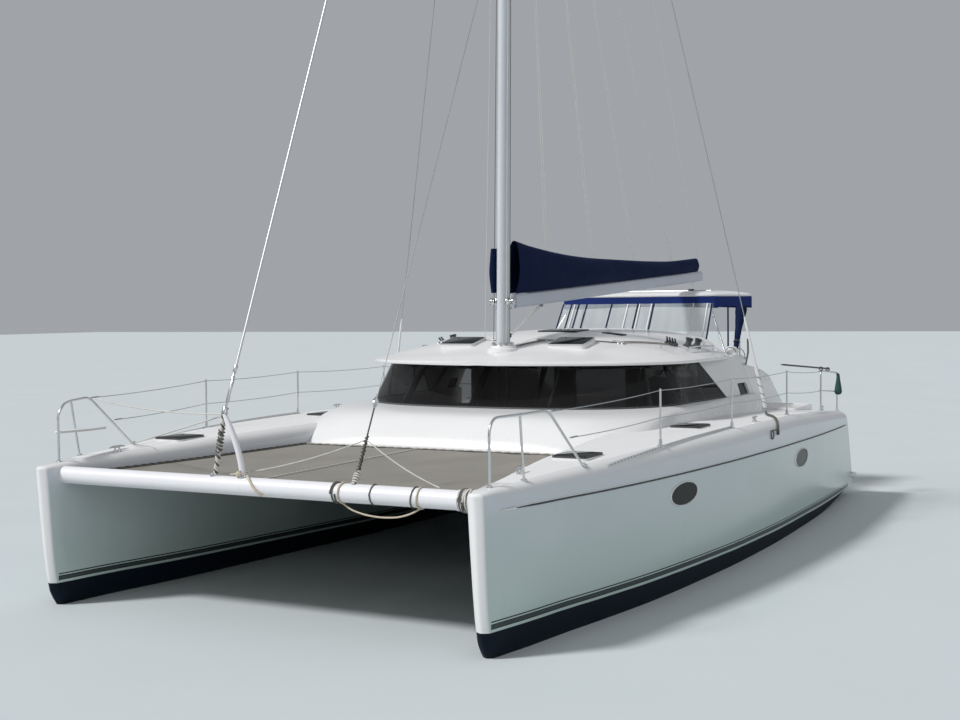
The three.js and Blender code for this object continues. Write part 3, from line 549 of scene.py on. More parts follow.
engine_bay = {"aft": -4.95, "front": -3.95, "half": 0.285, "floor": 0.10, "y": 2.71}
step_front, step_run, step_rise, step_first, step_wall = -5.12, 0.30, 0.33, 1.11, 0.17
transom = [
    (-5.38, 1.7), (-5.40, 1.48), (-6.10, 0.40), (-6.165, 0.33), (-6.165, -0.1), (-6.7, -0.1), (-6.7, 1.7),
]
deck_frames = {"fore": (4.13, 2.70, 0.52, 0.40, 1.666), "mid": (0.70, 2.81, 0.52, 0.40, 1.697)}


def hull_cutters():
    cutters = [prism(transom, "y", 1.2, 4.2)]
    for i in range(3):
        front = step_front - i * step_run
        low = (stern_x - 0.2, straight(STATIONS, "inner", front) + step_wall, step_first - i * step_rise)
        high = (front, straight(STATIONS, "outer", front) - step_wall, 2.0)
        cutters.append(rounded(block(low, high), 0.03, 3))
    half, y = engine_bay["half"], engine_bay["y"]
    low = (engine_bay["aft"], y - half, engine_bay["floor"])
    cutters.append(rounded(block(low, (engine_bay["front"], y + half, 2.0)), 0.02, 2))
    return cutters


for side, sign in SIDES.items():
    shape, *cutters = on_side(sign, hull_shape(), *hull_cutters())
    settle(shape, f"hull_shell_{side}", hull_paint, replaced=[f"hull_{side}"], cutters=cutters)

# Rub rails, portlights and other hull fittings
# A slim dark rubber rail with a white strip above it and a white nose runs along each topside; two
# oval portlights and a stern bumper sit on the outer side.
def on_hull(x, z, sign=1):
    """A point on the outer topside at that height, and the way the side faces there."""
    def spot(at, height):
        outer, inner, deck, soft, rake = (
            fair(STATIONS, k, at) for k in ("outer", "inner", "deck", "round", "rake")
        )
        half = (outer - inner) / 2
        flare = min(0.03, half * 0.2)
        share = (height - bilge_top) / (deck - soft - bilge_top)
        out = half + flare * min(1, max(0, share) * 1.15)
        over = max(0, height - (deck - soft))
        out -= soft - math.sqrt(max(0, soft * soft - over * over))
        return Vector((at - rake * fair(STEM, "back", height), (outer + inner) / 2 + out, height))

    here = spot(x, z)
    normal = (
        spot(x - 0.05, z) - spot(x + 0.05, z)
    ).cross(spot(x, z + 0.02) - spot(x, z - 0.02)).normalized()
    if normal.y < 0:
        normal.negate()
    return Vector((here.x, sign * here.y, z)), Vector((normal.x, sign * normal.y, normal.z))


AHEAD, TO_PORT, UPWARD = Vector((1, 0, 0)), Vector((0, 1, 0)), Vector((0, 0, 1))


def spaced(start, end, steps):
    """Even steps from start to end, both included."""
    return [start + (end - start) * i / steps for i in range(steps + 1)]


def round_turns(sides):
    return [k / sides * 2 * math.pi for k in range(sides)]


def tube(points, radius, sides=10, flat=1.0, up=UPWARD):
    """A bar swept along points, round or, with flat below 1, thinner across up."""
    points = [Vector(p) for p in points]
    rings = []
    across = None
    for i, point in enumerate(points):
        ahead = points[min(i + 1, len(points) - 1)] - points[max(i - 1, 0)]
        ahead.normalize()
        if across is None:
            across = ahead.cross(up if abs(ahead.dot(up)) < 0.95 else AHEAD).normalized()
        else:
            across = (across - ahead * across.dot(ahead)).normalized()
        rise = across.cross(ahead)
        reach = radius[i] if hasattr(radius, "__len__") else radius
        turns = round_turns(sides)
        rings.append(
            [point + across * reach * math.cos(t) + rise * reach * flat * math.sin(t) for t in turns]
        )
    return skin(rings)


def bent(points, radius, steps=6):
    """The same path with each corner turned through an arc."""
    points = [Vector(p) for p in points]
    path = [points[0]]
    for before, corner, after in zip(points, points[1:], points[2:]):
        back, on = (before - corner), (after - corner)
        reach = min(radius, back.length * 0.45, on.length * 0.45)
        start, end = corner + back.normalized() * reach, corner + on.normalized() * reach
        for i in range(steps + 1):
            t = i / steps
            path.append(start * (1 - t) ** 2 + corner * 2 * t * (1 - t) + end * t * t)
    return path + [points[-1]]


def frame_at(point, normal, along=AHEAD):
    """A placing matrix with its z along normal and its x as near as possible to along."""
    z = normal.normalized()
    x = (along - z * along.dot(z)).normalized()
    y = z.cross(x)
    return Matrix(
        ((x.x, y.x, z.x, point.x), (x.y, y.y, z.y, point.y), (x.z, y.z, z.z, point.z), (0, 0, 0, 1))
    )


def turned(profile, place=Matrix.Identity(4), sides=24, stretch=(1, 1)):
    """A turned shape: rings of (radius, height) about z, then stretched to an oval and put in place."""
    rings = []
    for reach, height in profile:
        turns = round_turns(sides)
        ring = [
            Vector((reach * stretch[0] * math.cos(t), reach * stretch[1] * math.sin(t), height))
            for t in turns
        ]
        rings.append([place @ p for p in ring])
    return skin(rings)


def mottled_finish(name, mottle, under, over, rough, grit, woven=False):
    """Two tones mottled together. mottle is the noise's scale and detail, rough the least roughness and
    what the mottle adds, and grit the scale, depth and strength of a fine bump or of a weave."""
    made, point = start_finish(name)
    patch = point.noise(*mottle)
    grain = point.cells(grit[0]) if woven else point.noise(grit[0], 2)
    return close_finish(
        made,
        base_color=patch.paint(under, over),
        roughness=rough[0] + patch * rough[1],
        normal=grain.bump(*grit[1:]),
    )


def stainless_finish():
    made, point = start_finish("stainless")
    smear = point.stretched(1, 1, 4).noise(9, 4)
    spots = point.noise(60, 5, 0.7).ease(0.62, 0.75)
    base = smear.paint((0.60, 0.61, 0.62), (0.74, 0.745, 0.75))
    return close_finish(
        made,
        base_color=(spots * 0.25).paint(base, (0.36, 0.27, 0.18)),
        metallic=1.0,
        roughness=0.14 + smear * 0.14 + spots * 0.2,
        normal=smear.bump(0.0002, 0.2),
    )


def dark_glass_finish():
    made, point = start_finish("smoked_glass")
    salt = point.noise(30, 5, 0.7).ease(0.45, 0.9)
    return close_finish(
        made,
        base_color=salt.paint((0.006, 0.009, 0.008), (0.018, 0.024, 0.022)),
        roughness=0.08 + salt * 0.16,
        specular_ior_level=0.10,
    )


rubber = mottled_finish(
    "dark_rubber", (22, 4), (0.030, 0.034, 0.036), (0.075, 0.080, 0.080), (0.48, 0.25), (180, 0.0004, 0.3),
)
white_plastic = mottled_finish(
    "white_plastic", (12, 3), (0.70, 0.71, 0.71), (0.80, 0.80, 0.79), (0.32, 0.1), (90, 0.0003, 0.2),
)
stainless = stainless_finish()
smoked = dark_glass_finish()

rail_heights = {"x": (6.2, 4.6, 2.5, 0.0, -3.0, -5.3), "z": (1.378, 1.356, 1.340, 1.318, 1.273, 1.240)}
rail_front, rail_back = 6.04, -5.30
portlights = [(2.60, 1.105), (-2.014, 1.046)]
portlight_long, portlight_high = 0.35, 0.125


def rub_rail(sign, rise, half, reach):
    """A half-round strip along the topside: rise above the rail line, half its height, and its reach."""
    steps = 110
    rings = []
    for i in range(steps + 1):
        x = rail_front - (rail_front - rail_back) * i / steps
        point, out = on_hull(x, fair(rail_heights, "z", x) + rise, sign)
        grow = min(1, 0.25 + i / 5) * min(1, 0.25 + (steps - i) / 3)
        turns = [-math.pi / 2 + math.pi * k / 6 for k in range(7)]
        arc = [(half * math.sin(t), reach * math.cos(t)) for t in turns]
        profile = [(-half, -0.006), *arc, (half, -0.006)]
        rings.append([point + UPWARD * a * grow + out * b * grow for a, b in profile])
    return skin(rings)


def disc(reach, half, place, sides=20):
    """A flat round block, such as a sheave."""
    return turned([(0.001, -half), (reach, -half), (reach, half), (0.001, half)], place, sides)


def rail_nose(sign, x, span):
    """The white end cap, drawn out to a point."""
    path = []
    for i in range(9):
        at = x + span * i / 8
        point, out = on_hull(at, fair(rail_heights, "z", at) + 0.003, sign)
        path.append(point + out * 0.004)
    return tube(path, [0.016 * math.sqrt(max(0.01, 1 - i / 8)) for i in range(9)], sides=12, flat=0.8)


for side, sign in SIDES.items():
    settle(rub_rail(sign, 0.0, 0.010, 0.014), f"rub_rail_{side}", rubber)
    settle(rub_rail(sign, 0.014, 0.005, 0.008), f"rub_rail_strip_{side}", white_plastic)
    noses = joined([rail_nose(sign, rail_front - 0.03, 0.24), rail_nose(sign, rail_back + 0.02, -0.10)])
    settle(noses, f"rub_rail_caps_{side}", white_plastic)
    rims, seals, panes = [], [], []
    for x, z in portlights:
        point, out = on_hull(x, z, sign)
        place = frame_at(point - out * 0.012, out)
        oval = (portlight_long, portlight_high)
        collar = [(0.90, 0.0), (1.10, 0.0), (1.10, 0.014), (1.07, 0.024), (1.03, 0.025), (1.00, 0.012)]
        rims.append(turned(collar, place, 64, oval))
        seals.append(
            turned(
                [(0.88, 0.002), (1.015, 0.002), (1.01, 0.0165), (0.96, 0.0165), (0.955, 0.010)], place, 64,
                oval,
            )
        )
        panes.append(turned([(0.2, 0.0145), (0.96, 0.0145), (0.96, 0.004), (0.2, 0.004)], place, 64, oval))
    settle(joined(rims), f"portlight_rims_{side}", white_plastic)
    settle(joined(seals), f"portlight_seals_{side}", rubber)
    settle(joined(panes), f"portlight_panes_{side}", smoked)
    bumper = tube(
        [
            Vector((x, sign * y, 0.31))
            for x,
            y in (
                (-6.02, 3.43), (-6.06, 3.45), (-6.10, 3.465), (-6.145, 3.475), (-6.175, 3.48),
                (-6.19, 3.485),
            )
        ],
        [0.020, 0.026, 0.048, 0.055, 0.044, 0.018], sides=18,
    )
    settle(bumper, f"stern_bumper_{side}", white_plastic)

# Deck hardware on the hulls
# A drilled aluminium toe rail on the forward half of each gunwale, and horn cleats.
def alloy_finish():
    made, point = start_finish("satin_alloy")
    grain = point.stretched(1, 8, 8).noise(14, 5, 0.6)
    patch = point.noise(2.5, 3)
    return close_finish(
        made,
        base_color=patch.paint((0.55, 0.56, 0.57), (0.68, 0.69, 0.69)),
        metallic=0.75,
        roughness=0.30 + grain * 0.18,
        normal=grain.bump(0.0003, 0.25),
    )


alloy = alloy_finish()
TOE_RAIL = {"x": (4.30, 3.32, 1.73, 0.65), "y": (3.115, 3.217, 3.309, 3.346)}
toe_rail_high, hole_spacing = 0.034, 0.075


def deck_z(x):
    return fair(STATIONS, "deck", x)


def deck_y(x, inboard):
    return fair(STATIONS, "outer", x) - inboard


def deck_edge(x, y, up=0.0):
    """A point on the deck, followed down over the rounded gunwale when y is that far out."""
    outer, inner, soft = (fair(STATIONS, key, x) for key in ("outer", "inner", "round"))
    over = max(0.0, y - (outer + min(0.03, (outer - inner) * 0.1) - soft))
    drop = soft - math.sqrt(max(0.0, soft * soft - over * over))
    return Vector((x, y, deck_z(x) - drop + up))


def toe_rail():
    """A thin upright strip along the deck edge, and its row of drilled holes."""
    front, back = TOE_RAIL["x"][0], TOE_RAIL["x"][-1]
    low = [deck_edge(x, fair(TOE_RAIL, "y", x), -0.004) for x in spaced(front, back, 24)]
    strip = skin([[p + Vector((0, dy, dz)) for dy, dz in toe_section] for p in low])
    holes = []
    for x in spaced(front, back, round((front - back) / hole_spacing))[1:-1]:
        at = deck_edge(x, fair(TOE_RAIL, "y", x) + 0.0032, toe_rail_high * 0.5)
        hole = [(0.001, 0.0006), (0.008, 0.0006), (0.008, -0.002), (0.001, -0.002)]
        holes.append(turned(hole, frame_at(at, TO_PORT), 12))
    return strip, joined(holes)


toe_section = [(-0.003, 0.0), (0.003, 0.0), (0.003, toe_rail_high), (-0.003, toe_rail_high)]


def horn_cleat(at, along):
    """A two-legged cleat with drawn-out horns."""
    place = frame_at(at, UPWARD, along)
    horn = [
        place @ Vector(p)
        for p in ((-0.13, 0, 0.050), (-0.07, 0, 0.060), (0, 0, 0.058), (0.07, 0, 0.060), (0.13, 0, 0.050))
    ]
    parts = [tube(horn, [0.006, 0.012, 0.015, 0.012, 0.006], sides=12)]
    for x in (-0.035, 0.035):
        leg = [
            (0.001, -0.004), (0.022, -0.004), (0.020, 0.004), (0.010, 0.02), (0.010, 0.055), (0.001, 0.055),
        ]
        parts.append(turned(leg, place @ Matrix.Translation((x, 0, 0)), 16))
    return joined(parts)


for side, sign in SIDES.items():
    rail, holes = toe_rail()
    cleats = [
        horn_cleat(Vector((x, deck_y(x, inboard), deck_z(x) + 0.004)), AHEAD)
        for x, inboard in ((5.35, 0.33), (-0.40, 0.20), (-4.72, 0.25))
    ]
    rail, holes, cleats = on_side(sign, rail, holes, joined(cleats))
    settle(rail, f"toe_rail_{side}", alloy)
    settle(holes, f"toe_rail_holes_{side}", rubber)
    settle(cleats, f"mooring_cleats_{side}", stainless)

# Hatch lids
# Smoked acrylic panes in slim frames, dark ones on the side decks and alloy ones on the cabin roof.
# Each replaces its CAD lid, and the pane sits in its frame. The engine lids are moulded gelcoat.
lid_thick, lid_gap, lid_corner, lid_border = 0.026, 0.0003, 0.055, 0.020


def slab(x, y, length, width, low, high):
    """A block given by its middle, its length along x and its width."""
    return block((x - length / 2, y - width / 2, low), (x + length / 2, y + width / 2, high))


def hatch_lid(x, y, seat, length, width):
    """Frame, pane and knobs of one lid, flat on its seat."""
    low = seat + lid_gap
    high = low + lid_thick
    frame_low = soft_corners(slab(x, y, length, width, low, high - 0.004), lid_corner)
    top = [f for f in frame_low.faces if f.normal.z > 0.9]
    bmesh.ops.inset_region(frame_low, faces=top, thickness=0.014, depth=0.0)
    inner = [f for f in frame_low.faces if f.normal.z > 0.9 and len(f.verts) > 4]
    bmesh.ops.inset_region(frame_low, faces=inner, thickness=0.004, depth=-0.004)
    pane = slab(x, y, length - 2 * lid_border, width - 2 * lid_border, high - 0.010, high - 0.0005)
    rounded(soft_corners(pane, 0.042, 0.005), 0.002, 2)
    handles = []
    for dy in (-width * 0.28, width * 0.28):
        knob = Matrix.Translation((x - length / 2 + 0.07, y + dy, high - 0.0008))
        handles.append(
            turned([(0.001, 0.0015), (0.013, 0.0015), (0.016, -0.001), (0.001, -0.001)], knob, 16)
        )
    return frame_low, pane, joined(handles)


roof_frames = {"port": (0.02, 0.86, 0.46, 0.56, 2.762), "starboard": (0.02, -0.86, 0.46, 0.56, 2.762)}
roof_tilt = math.radians(11.5)


def roof_lean(x, y, seat):
    """Turns a lid made flat on its seat down to the roof's slope."""
    centre = Matrix.Translation((x, y, seat))
    return centre @ Matrix.Rotation(roof_tilt, 4, "Y") @ centre.inverted()


for side, sign in SIDES.items():
    for kind, (x, y, length, width, seat) in deck_frames.items():
        lid, pane, knobs = hatch_lid(x, y * sign, seat, length, width)
        body = f"{kind}_hatch_{side}"
        settle(lid, f"{kind}_lid_frame_{side}", rubber, [body], body=body)
        settle(pane, f"{kind}_lid_pane_{side}", smoked, body=body)
        settle(knobs, f"{kind}_lid_knobs_{side}", rubber, body=body)
        rim = soft_corners(slab(x, sign * y, length, width, seat - 0.14, seat), lid_corner)
        settle(rim, f"{kind}_hatch_rim_{side}", gelcoat)
    x, y, length, width, seat = roof_frames[side]
    lid, pane, knobs = hatch_lid(x, y, seat, length, width)
    for part in (lid, pane, knobs):
        part.transform(roof_lean(x, y, seat))
    body = f"roof_hatch_{side}"
    settle(lid, f"roof_lid_frame_{side}", alloy, [body], body=body)
    settle(pane, f"roof_lid_pane_{side}", smoked, body=body)
    settle(knobs, f"roof_lid_knobs_{side}", rubber, body=body)

engine_lid = (-4.45, 2.71, 1.08, 0.66, 1.585)
engine_lid_corner = 0.05


def engine_lid_shape(sign):
    x, y, length, width, seat = engine_lid
    low = seat + lid_gap
    lid = soft_corners(slab(x, y * sign, length, width, low, low + lid_thick), engine_lid_corner)
    top = [f for f in lid.faces if f.normal.z > 0.9]
    bmesh.ops.inset_region(lid, faces=top, thickness=0.05, depth=0)
    middle = [f for f in lid.faces if f.normal.z > 0.9 and len(f.verts) > 4]
    bmesh.ops.inset_region(lid, faces=middle, thickness=0.012, depth=-0.006)
    return rounded(lid, 0.004, 2)


for side, sign in SIDES.items():
    settle(
        engine_lid_shape(sign), f"engine_lid_{side}", gelcoat, replaced=[f"engine_hatch_{side}"],
        body=f"engine_hatch_{side}",
    )
    x, y, length, width, seat = engine_lid
    latch = Matrix.Translation((x - length / 2 + 0.12, y * sign, seat + lid_gap + lid_thick - 0.0045))
    ring = turned(
        [(0.001, 0.002), (0.020, 0.002), (0.030, 0.006), (0.036, 0.003), (0.036, -0.001), (0.001, -0.001)],
        latch, 28,
    )
    settle(ring, f"engine_lid_latch_{side}", stainless, body=f"engine_hatch_{side}")
    rim = soft_corners(slab(x, y * sign, length, width, seat - 0.16, seat), engine_lid_corner)
    half = engine_bay["half"]
    hole = block((engine_bay["aft"], y * sign - half, 1.0), (engine_bay["front"], y * sign + half, 2.0))
    settle(rim, f"engine_bay_rim_{side}", gelcoat, cutters=[hole])

# Bridgedeck and cabin trunk
# The moulded deck between the hulls and the coach roof's lower part: a lip along the trampoline, a
# fair sloping face, and a ledge up to the windows. The trunk is hollow inside, like a real saloon.
TRUNK = {
    "x": (1.900, 1.868, 1.810, 1.700, 1.500, 1.425, 0.9003),
    "front": (1.300, 1.760, 1.960, 2.120, 2.290, 2.315, 2.290),
    "turn": (-0.600, -0.100, 0.200, 0.500, 0.900, 1.000, 1.000),
    "half": (2.425, 2.470, 2.510, 2.530, 2.550, 2.560, 2.560),
    "power": (2.6, 3.0, 3.4, 4.2, 6.0, 7.0, 7.0),
    "spread": (0.250, 0.230, 0.210, 0.200, 0.190, 0.180, 0.180),
}
trunk_levels = (
    0.9003, 1.2, 1.40, 1.425, 1.45, 1.475, 1.5, 1.54, 1.6, 1.66, 1.70, 1.74, 1.78, 1.81, 1.83, 1.85, 1.868,
    1.88, 1.892, 1.9,
)
saloon_aft = -2.9
sill_z = 1.9


def half_outline(front, turn, half, power, aft, spread, steps=24, start=0.0, end=1.0):
    """Half of the cabin's plan: a rounded front, then a side that spreads a little going aft."""
    points = []
    for i in range(steps + 1):
        t = (start + (end - start) * i / steps) * math.pi / 2
        x = turn + (front - turn) * max(0.0, math.cos(t)) ** (2 / power)
        points.append((x, half * math.sin(t) ** (2 / power)))
    if end == 1.0:
        wide = half + spread * (turn - aft) / (turn - saloon_aft)
        points += [(turn + (aft - turn) * k / 6, half + (wide - half) * k / 6) for k in range(1, 7)]
    return points


def both_sides(half):
    return [(x, -y) for x, y in reversed(half[1:])] + list(half)


def cabin_trunk():
    rings = []
    for z in trunk_levels:
        front, turn, half, power, spread = (
            fair(TRUNK, key, z) for key in ("front", "turn", "half", "power", "spread")
        )
        outline = both_sides(half_outline(front, turn, half, power, saloon_aft - 0.1, spread))
        rings.append([Vector((x, y, z)) for x, y in outline])
    return skin(rings)


room = both_sides(half_outline(1.13, -0.6, 2.25, 2.6, -3.4, 0.25))
settle(
    cabin_trunk(), "cabin_trunk_moulding", gelcoat, replaced=["cabin_trunk"],
    cutters=[prism(room, "z", 0.5, 2.2)],
)
nodes["bridgedeck"].data.materials[0] = gelcoat

# Cabin roof
# A broad crowned gelcoat moulding with a thin rounded lip that runs out as a visor over the windows,
# with a collar under the mast. The rope gear on top is bolted through it.
ROOF = {
    "x": (1.215, 1.170, 1.050, 0.850, 0.500, 0.000, -0.600, -1.300, -2.100, -2.650, -3.250, -3.700, -3.900),
    "edge": (2.522, 2.522, 2.522, 2.520, 2.518, 2.515, 2.512, 2.508, 2.500, 2.500, 2.600, 2.690, 2.740),
    "crown": (2.526, 2.536, 2.560, 2.600, 2.650, 2.760, 2.860, 2.905, 2.915, 2.912, 2.905, 2.890, 2.875),
}
ROOF_SIDE = {
    "x": (-0.6, -1.3, -2.1, -2.65, -3.25, -3.7, -3.9), "half": (2.48, 2.48, 2.43, 2.33, 1.95, 1.69, 1.5),
}
roof_front, roof_turn, roof_aft = 1.22, -0.6, -3.9
roof_power, camber_power = 2.15, 2.3
roof_thick = 0.05


def roof_half(x):
    if x <= roof_turn:
        return fair(ROOF_SIDE, "half", x)
    share = min(1.0, (x - roof_turn) / (roof_front - roof_turn))
    return ROOF_SIDE["half"][0] * (1 - share ** roof_power) ** (1 / roof_power)


def roof_top(x, y):
    across = min(1.0, abs(y) / max(0.01, roof_half(x)))
    edge, crown = fair(ROOF, "edge", x), fair(ROOF, "crown", x)
    return edge + (crown - edge) * (1 - across ** camber_power)


def roof_ring(x, across=26, lip_steps=5):
    half, lip = roof_half(x), roof_thick / 2
    edge = fair(ROOF, "edge", x)
    top = []
    for k in range(-across, across + 1):
        u = math.sin(k / across * math.pi / 2)
        y = u * max(0.0, half - lip)
        top.append((y, roof_top(x, u * half)))
    under = [(y, z - roof_thick) for y, z in reversed(top)]
    turns = [math.pi / 2 - math.pi * i / (lip_steps + 1) for i in range(1, lip_steps + 1)]
    left = [(top[-1][0] + lip * math.cos(t), edge - lip + lip * math.sin(t)) for t in turns]
    right = [(-y, z) for y, z in reversed(left)]
    return [Vector((x, y, z)) for y, z in top + left + under + right]


def roof_shell():
    front = [
        roof_front - (roof_front - roof_turn) * (1 - math.cos(i / 30 * math.pi / 2)) for i in range(1, 31)
    ]
    back = [roof_turn + (roof_aft - roof_turn) * i / 40 for i in range(1, 41)]
    return skin([roof_ring(x) for x in front + back])


def on_roof(x, y):
    """A point on the roof, and the way the roof faces there."""
    along = Vector((0.04, 0, roof_top(x + 0.02, y) - roof_top(x - 0.02, y)))
    across = Vector((0, 0.04, roof_top(x, y + 0.02) - roof_top(x, y - 0.02)))
    return Vector((x, y, roof_top(x, y))), along.cross(across).normalized()


mast_foot = Vector((0.45, 0, 2.72))
mast_rake = math.radians(1.8)
mast_up = Vector((-math.sin(mast_rake), 0, math.cos(mast_rake)))
settle(roof_shell(), "roof_moulding", gelcoat, replaced=["cabin_roof"])
collar_profile = [
    (0.10, -0.10), (0.225, -0.10), (0.215, -0.045), (0.185, -0.030), (0.175, -0.006), (0.165, -0.0003),
    (0.10, -0.0003),
]
collar = turned(collar_profile, frame_at(mast_foot, mast_up), 40)
settle(collar, "mast_collar", gelcoat)

# Roof lids' frames and the flush skylights
# Low moulded frames under the two hatch lids beside the mast, tilted with the roof, and two dark
# panes set flush in the roof further aft.
for side, (x, y, length, width, seat) in roof_frames.items():
    frame_block = soft_corners(slab(x, y, length, width, seat - 0.10, seat), lid_corner, 0.05)
    frame_block.transform(roof_lean(x, y, seat))
    settle(frame_block, f"roof_hatch_frame_{side}", gelcoat)
for number, (x, y, length, width) in enumerate(((-1.20, 0.20, 0.56, 0.62), (-1.19, 1.02, 0.20, 0.34))):
    point, out = on_roof(x, y)
    sheet = rounded(soft_corners(slab(0, 0, length, width, -0.012, 0.009), 0.035, 0.005), 0.003, 2)
    sheet.transform(frame_at(point + out * 0.001, out))
    settle(sheet, f"skylight_{number + 1}", smoked)

# Saloon windows
# Raked tinted panes run right round the front of the saloon, bedded in dark sealant between sill and
# roof. Each side has a long pane that ends in a slanted edge at the white side panel.
SILL = {"front": 1.250, "turn": -0.600, "half": 2.370, "power": 2.6, "spread": 0.25}
HEAD = {"front": 0.640, "turn": -0.760, "half": 2.250, "power": 2.4, "spread": 0.16}
sill_aft, head_aft = -1.86, -1.03
head_z = 2.56
glass_thick = 0.012
glass_split = 0.62


def window_glass_finish():
    made, point = start_finish("window_glass")
    z = point.axes()[2]
    film = point.noise(5, 3)
    salt = point.noise(40, 5, 0.7).ease(0.5, 0.95)
    dusty = (1 - z.ease(1.90, 1.99)) * point.noise(7, 4)
    base = film.paint((0.0015, 0.0012, 0.0012), (0.004, 0.003, 0.003))
    return close_finish(
        made,
        base_color=(dusty * 0.3).paint(base, (0.05, 0.05, 0.05)),
        roughness=0.04 + salt * 0.10 + dusty * 0.2,
        alpha=0.60 + dusty * 0.15,
        specular_ior_level=0.4,
    )


def plan_at(outline, aft, t):
    """A point of a half plan: t 0 to 1 round the front, and on to 2 at the after end."""
    if t <= 1:
        turn = t * math.pi / 2
        reach = (outline["front"] - outline["turn"]) * max(0.0, math.cos(turn)) ** (2 / outline["power"])
        return outline["turn"] + reach, outline["half"] * math.sin(turn) ** (2 / outline["power"])
    wide = outline["spread"] * (outline["turn"] - aft) / (outline["turn"] - saloon_aft)
    return outline["turn"] + (aft - outline["turn"]) * (t - 1), outline["half"] + wide * (t - 1)


def glass_at(t, rise, inward=0.0):
    """A point on the window surface, t below 0 being to starboard, moved inward square to it."""
    def bare(u, v):
        low, high = plan_at(SILL, sill_aft, abs(u)), plan_at(HEAD, head_aft, abs(u))
        x, y = (a + (b - a) * v for a, b in zip(low, high))
        return Vector((x, math.copysign(y, u), sill_z + 0.0003 + (head_z - sill_z) * v))

    here = bare(t, rise)
    if not inward:
        return here
    inside = (
        bare(t + 0.01, rise) - bare(t - 0.01, rise)
    ).cross(bare(t, rise + 0.01) - bare(t, rise - 0.01)).normalized()
    return here + inside * (inward if inside.dot(Vector((-0.8 - here.x, -here.y, 0))) > 0 else -inward)


def glass_top(t, inward=0.0, into=0.03):
    """How far up the surface goes before it is that deep in the roof."""
    low, high = 0.0, 1.1
    for _ in range(20):
        middle = (low + high) / 2
        at = glass_at(t, middle, inward)
        if at.z < roof_top(at.x, at.y) - roof_thick + into:
            low = middle
        else:
            high = middle
    return low


def pane(start, end, steps=24, rises=8):
    rings = []
    for i in range(steps + 1):
        t = start + (end - start) * i / steps
        top = glass_top(t)
        outer = [glass_at(t, top * k / rises) for k in range(rises + 1)]
        inner = [glass_at(t, top * k / rises, glass_thick) for k in range(rises + 1)]
        for point in outer + inner:
            point.z = max(point.z, sill_z + 0.0003)
        rings.append(outer + inner[::-1])
    return skin(rings)


window_glass = window_glass_finish()
settle(pane(-glass_split, glass_split, 40), "front_window", window_glass, ["glass_front"])
for side, sign in SIDES.items():
    settle(
        pane(sign * (glass_split + 0.003), sign * 2, 44), f"side_window_{side}", window_glass,
        [f"glass_side_{side}"],
    )

# Window posts and blinds
# Grey moulded posts lean back behind the glass and carry the roof, some with a light edge, and brown
# blinds with a pale hem are pulled a little way down between them. A light pole stands inside.
WINDOW_POSTS = (
    # at the head, at the sill, width, light
    (-1.37, -1.50, 0.035, True), (-0.77, -0.94, 0.070, False), (-0.635, -0.72, 0.035, True),
    (-0.32, -0.318, 0.035, True),
    (-0.295, -0.295, 0.045, False), (-0.184, -0.18, 0.055, False), (-0.015, -0.015, 0.115, False),
    (0.168, 0.157, 0.080, False),
    (0.232, 0.210, 0.032, True), (0.635, 0.72, 0.035, True), (0.77, 0.94, 0.080, False),
    (0.84, 1.02, 0.030, True),
    (1.37, 1.50, 0.035, True),
)
blind_spans = (
    (-1.30, -0.82), (-0.60, -0.35), (-0.27, -0.21), (-0.155, -0.06), (0.03, 0.13), (0.26, 0.70),
    (0.90, 1.30),
)


def blind_finish():
    made, point = start_finish("blind_cloth")
    folds = (point.axes()[2] * 260).sine() * 0.5 + 0.5
    patch = point.noise(5, 3)
    return close_finish(
        made,
        base_color=patch.paint((0.115, 0.100, 0.080), (0.170, 0.150, 0.125)),
        roughness=0.85,
        normal=folds.bump(0.003, 0.5),
    )


blind_cloth = blind_finish()
post_grey = mottled_finish(
    "post_grey", (6, 3), (0.085, 0.088, 0.098), (0.120, 0.122, 0.130), (0.45, 0.15), (90, 0.0003, 0.2),
)


def window_post(head, sill, width, depth=0.022):
    rings = []
    for k in range(9):
        t = sill + (head - sill) * k / 8
        rise = glass_top(t, 0.05) * k / 8
        along = (glass_at(t + 0.005, 0.5) - glass_at(t - 0.005, 0.5)).normalized()
        at = glass_at(t, rise, 0.022 + depth)
        inside = (glass_at(t, rise, 0.1) - glass_at(t, rise)).normalized()
        turns = round_turns(12)
        rings.append([at + along * math.cos(a) * width / 2 + inside * math.sin(a) * depth for a in turns])
        for point in rings[-1]:
            point.z = max(point.z, sill_z - 0.05 + 0.01 * k)
    return skin(rings)


def hung_strip(start, end, rows, thick):
    """A strip hung behind the glass. Each row is how far it drops below the head and how far in it is."""
    rings = []
    for i in range(9):
        t = start + (end - start) * i / 8
        top = glass_top(t, 0.09, -0.002)
        outer = [glass_at(t, top - drop, inward) for drop, inward in rows]
        rings.append(outer + [glass_at(t, top - drop, inward + thick) for drop, inward in reversed(rows)])
    return skin(rings)


blind_rows = [(0.0, 0.085), (0.06, 0.075), (0.14, 0.070), (0.24, 0.070)]
hem_rows = [(0.238, 0.064), (0.258, 0.064)]
for light, paint, name in ((True, white_plastic, "window_posts_light"), (False, post_grey, "window_posts")):
    posts = [window_post(head, sill, width) for head, sill, width, pale in WINDOW_POSTS if pale == light]
    settle(joined(posts), name, paint)
settle(
    joined([hung_strip(*span, blind_rows, 0.012) for span in blind_spans]), "window_blinds", blind_cloth,
)
settle(
    joined([hung_strip(*span, hem_rows, 0.018) for span in blind_spans]), "window_blind_hems",
    white_plastic,
)
sill_seal = tube([glass_at(t, 0.012, 0.002) for t in spaced(-1.98, 1.98, 120)], 0.016, 8)
settle(sill_seal, "window_sill_seal", rubber)
cabin_pole = tube([Vector((0.72, 0.15, sill_z - 0.05)), Vector((0.55, 0.15, 2.60))], 0.014, 12)
settle(cabin_pole, "cabin_pole", white_plastic)

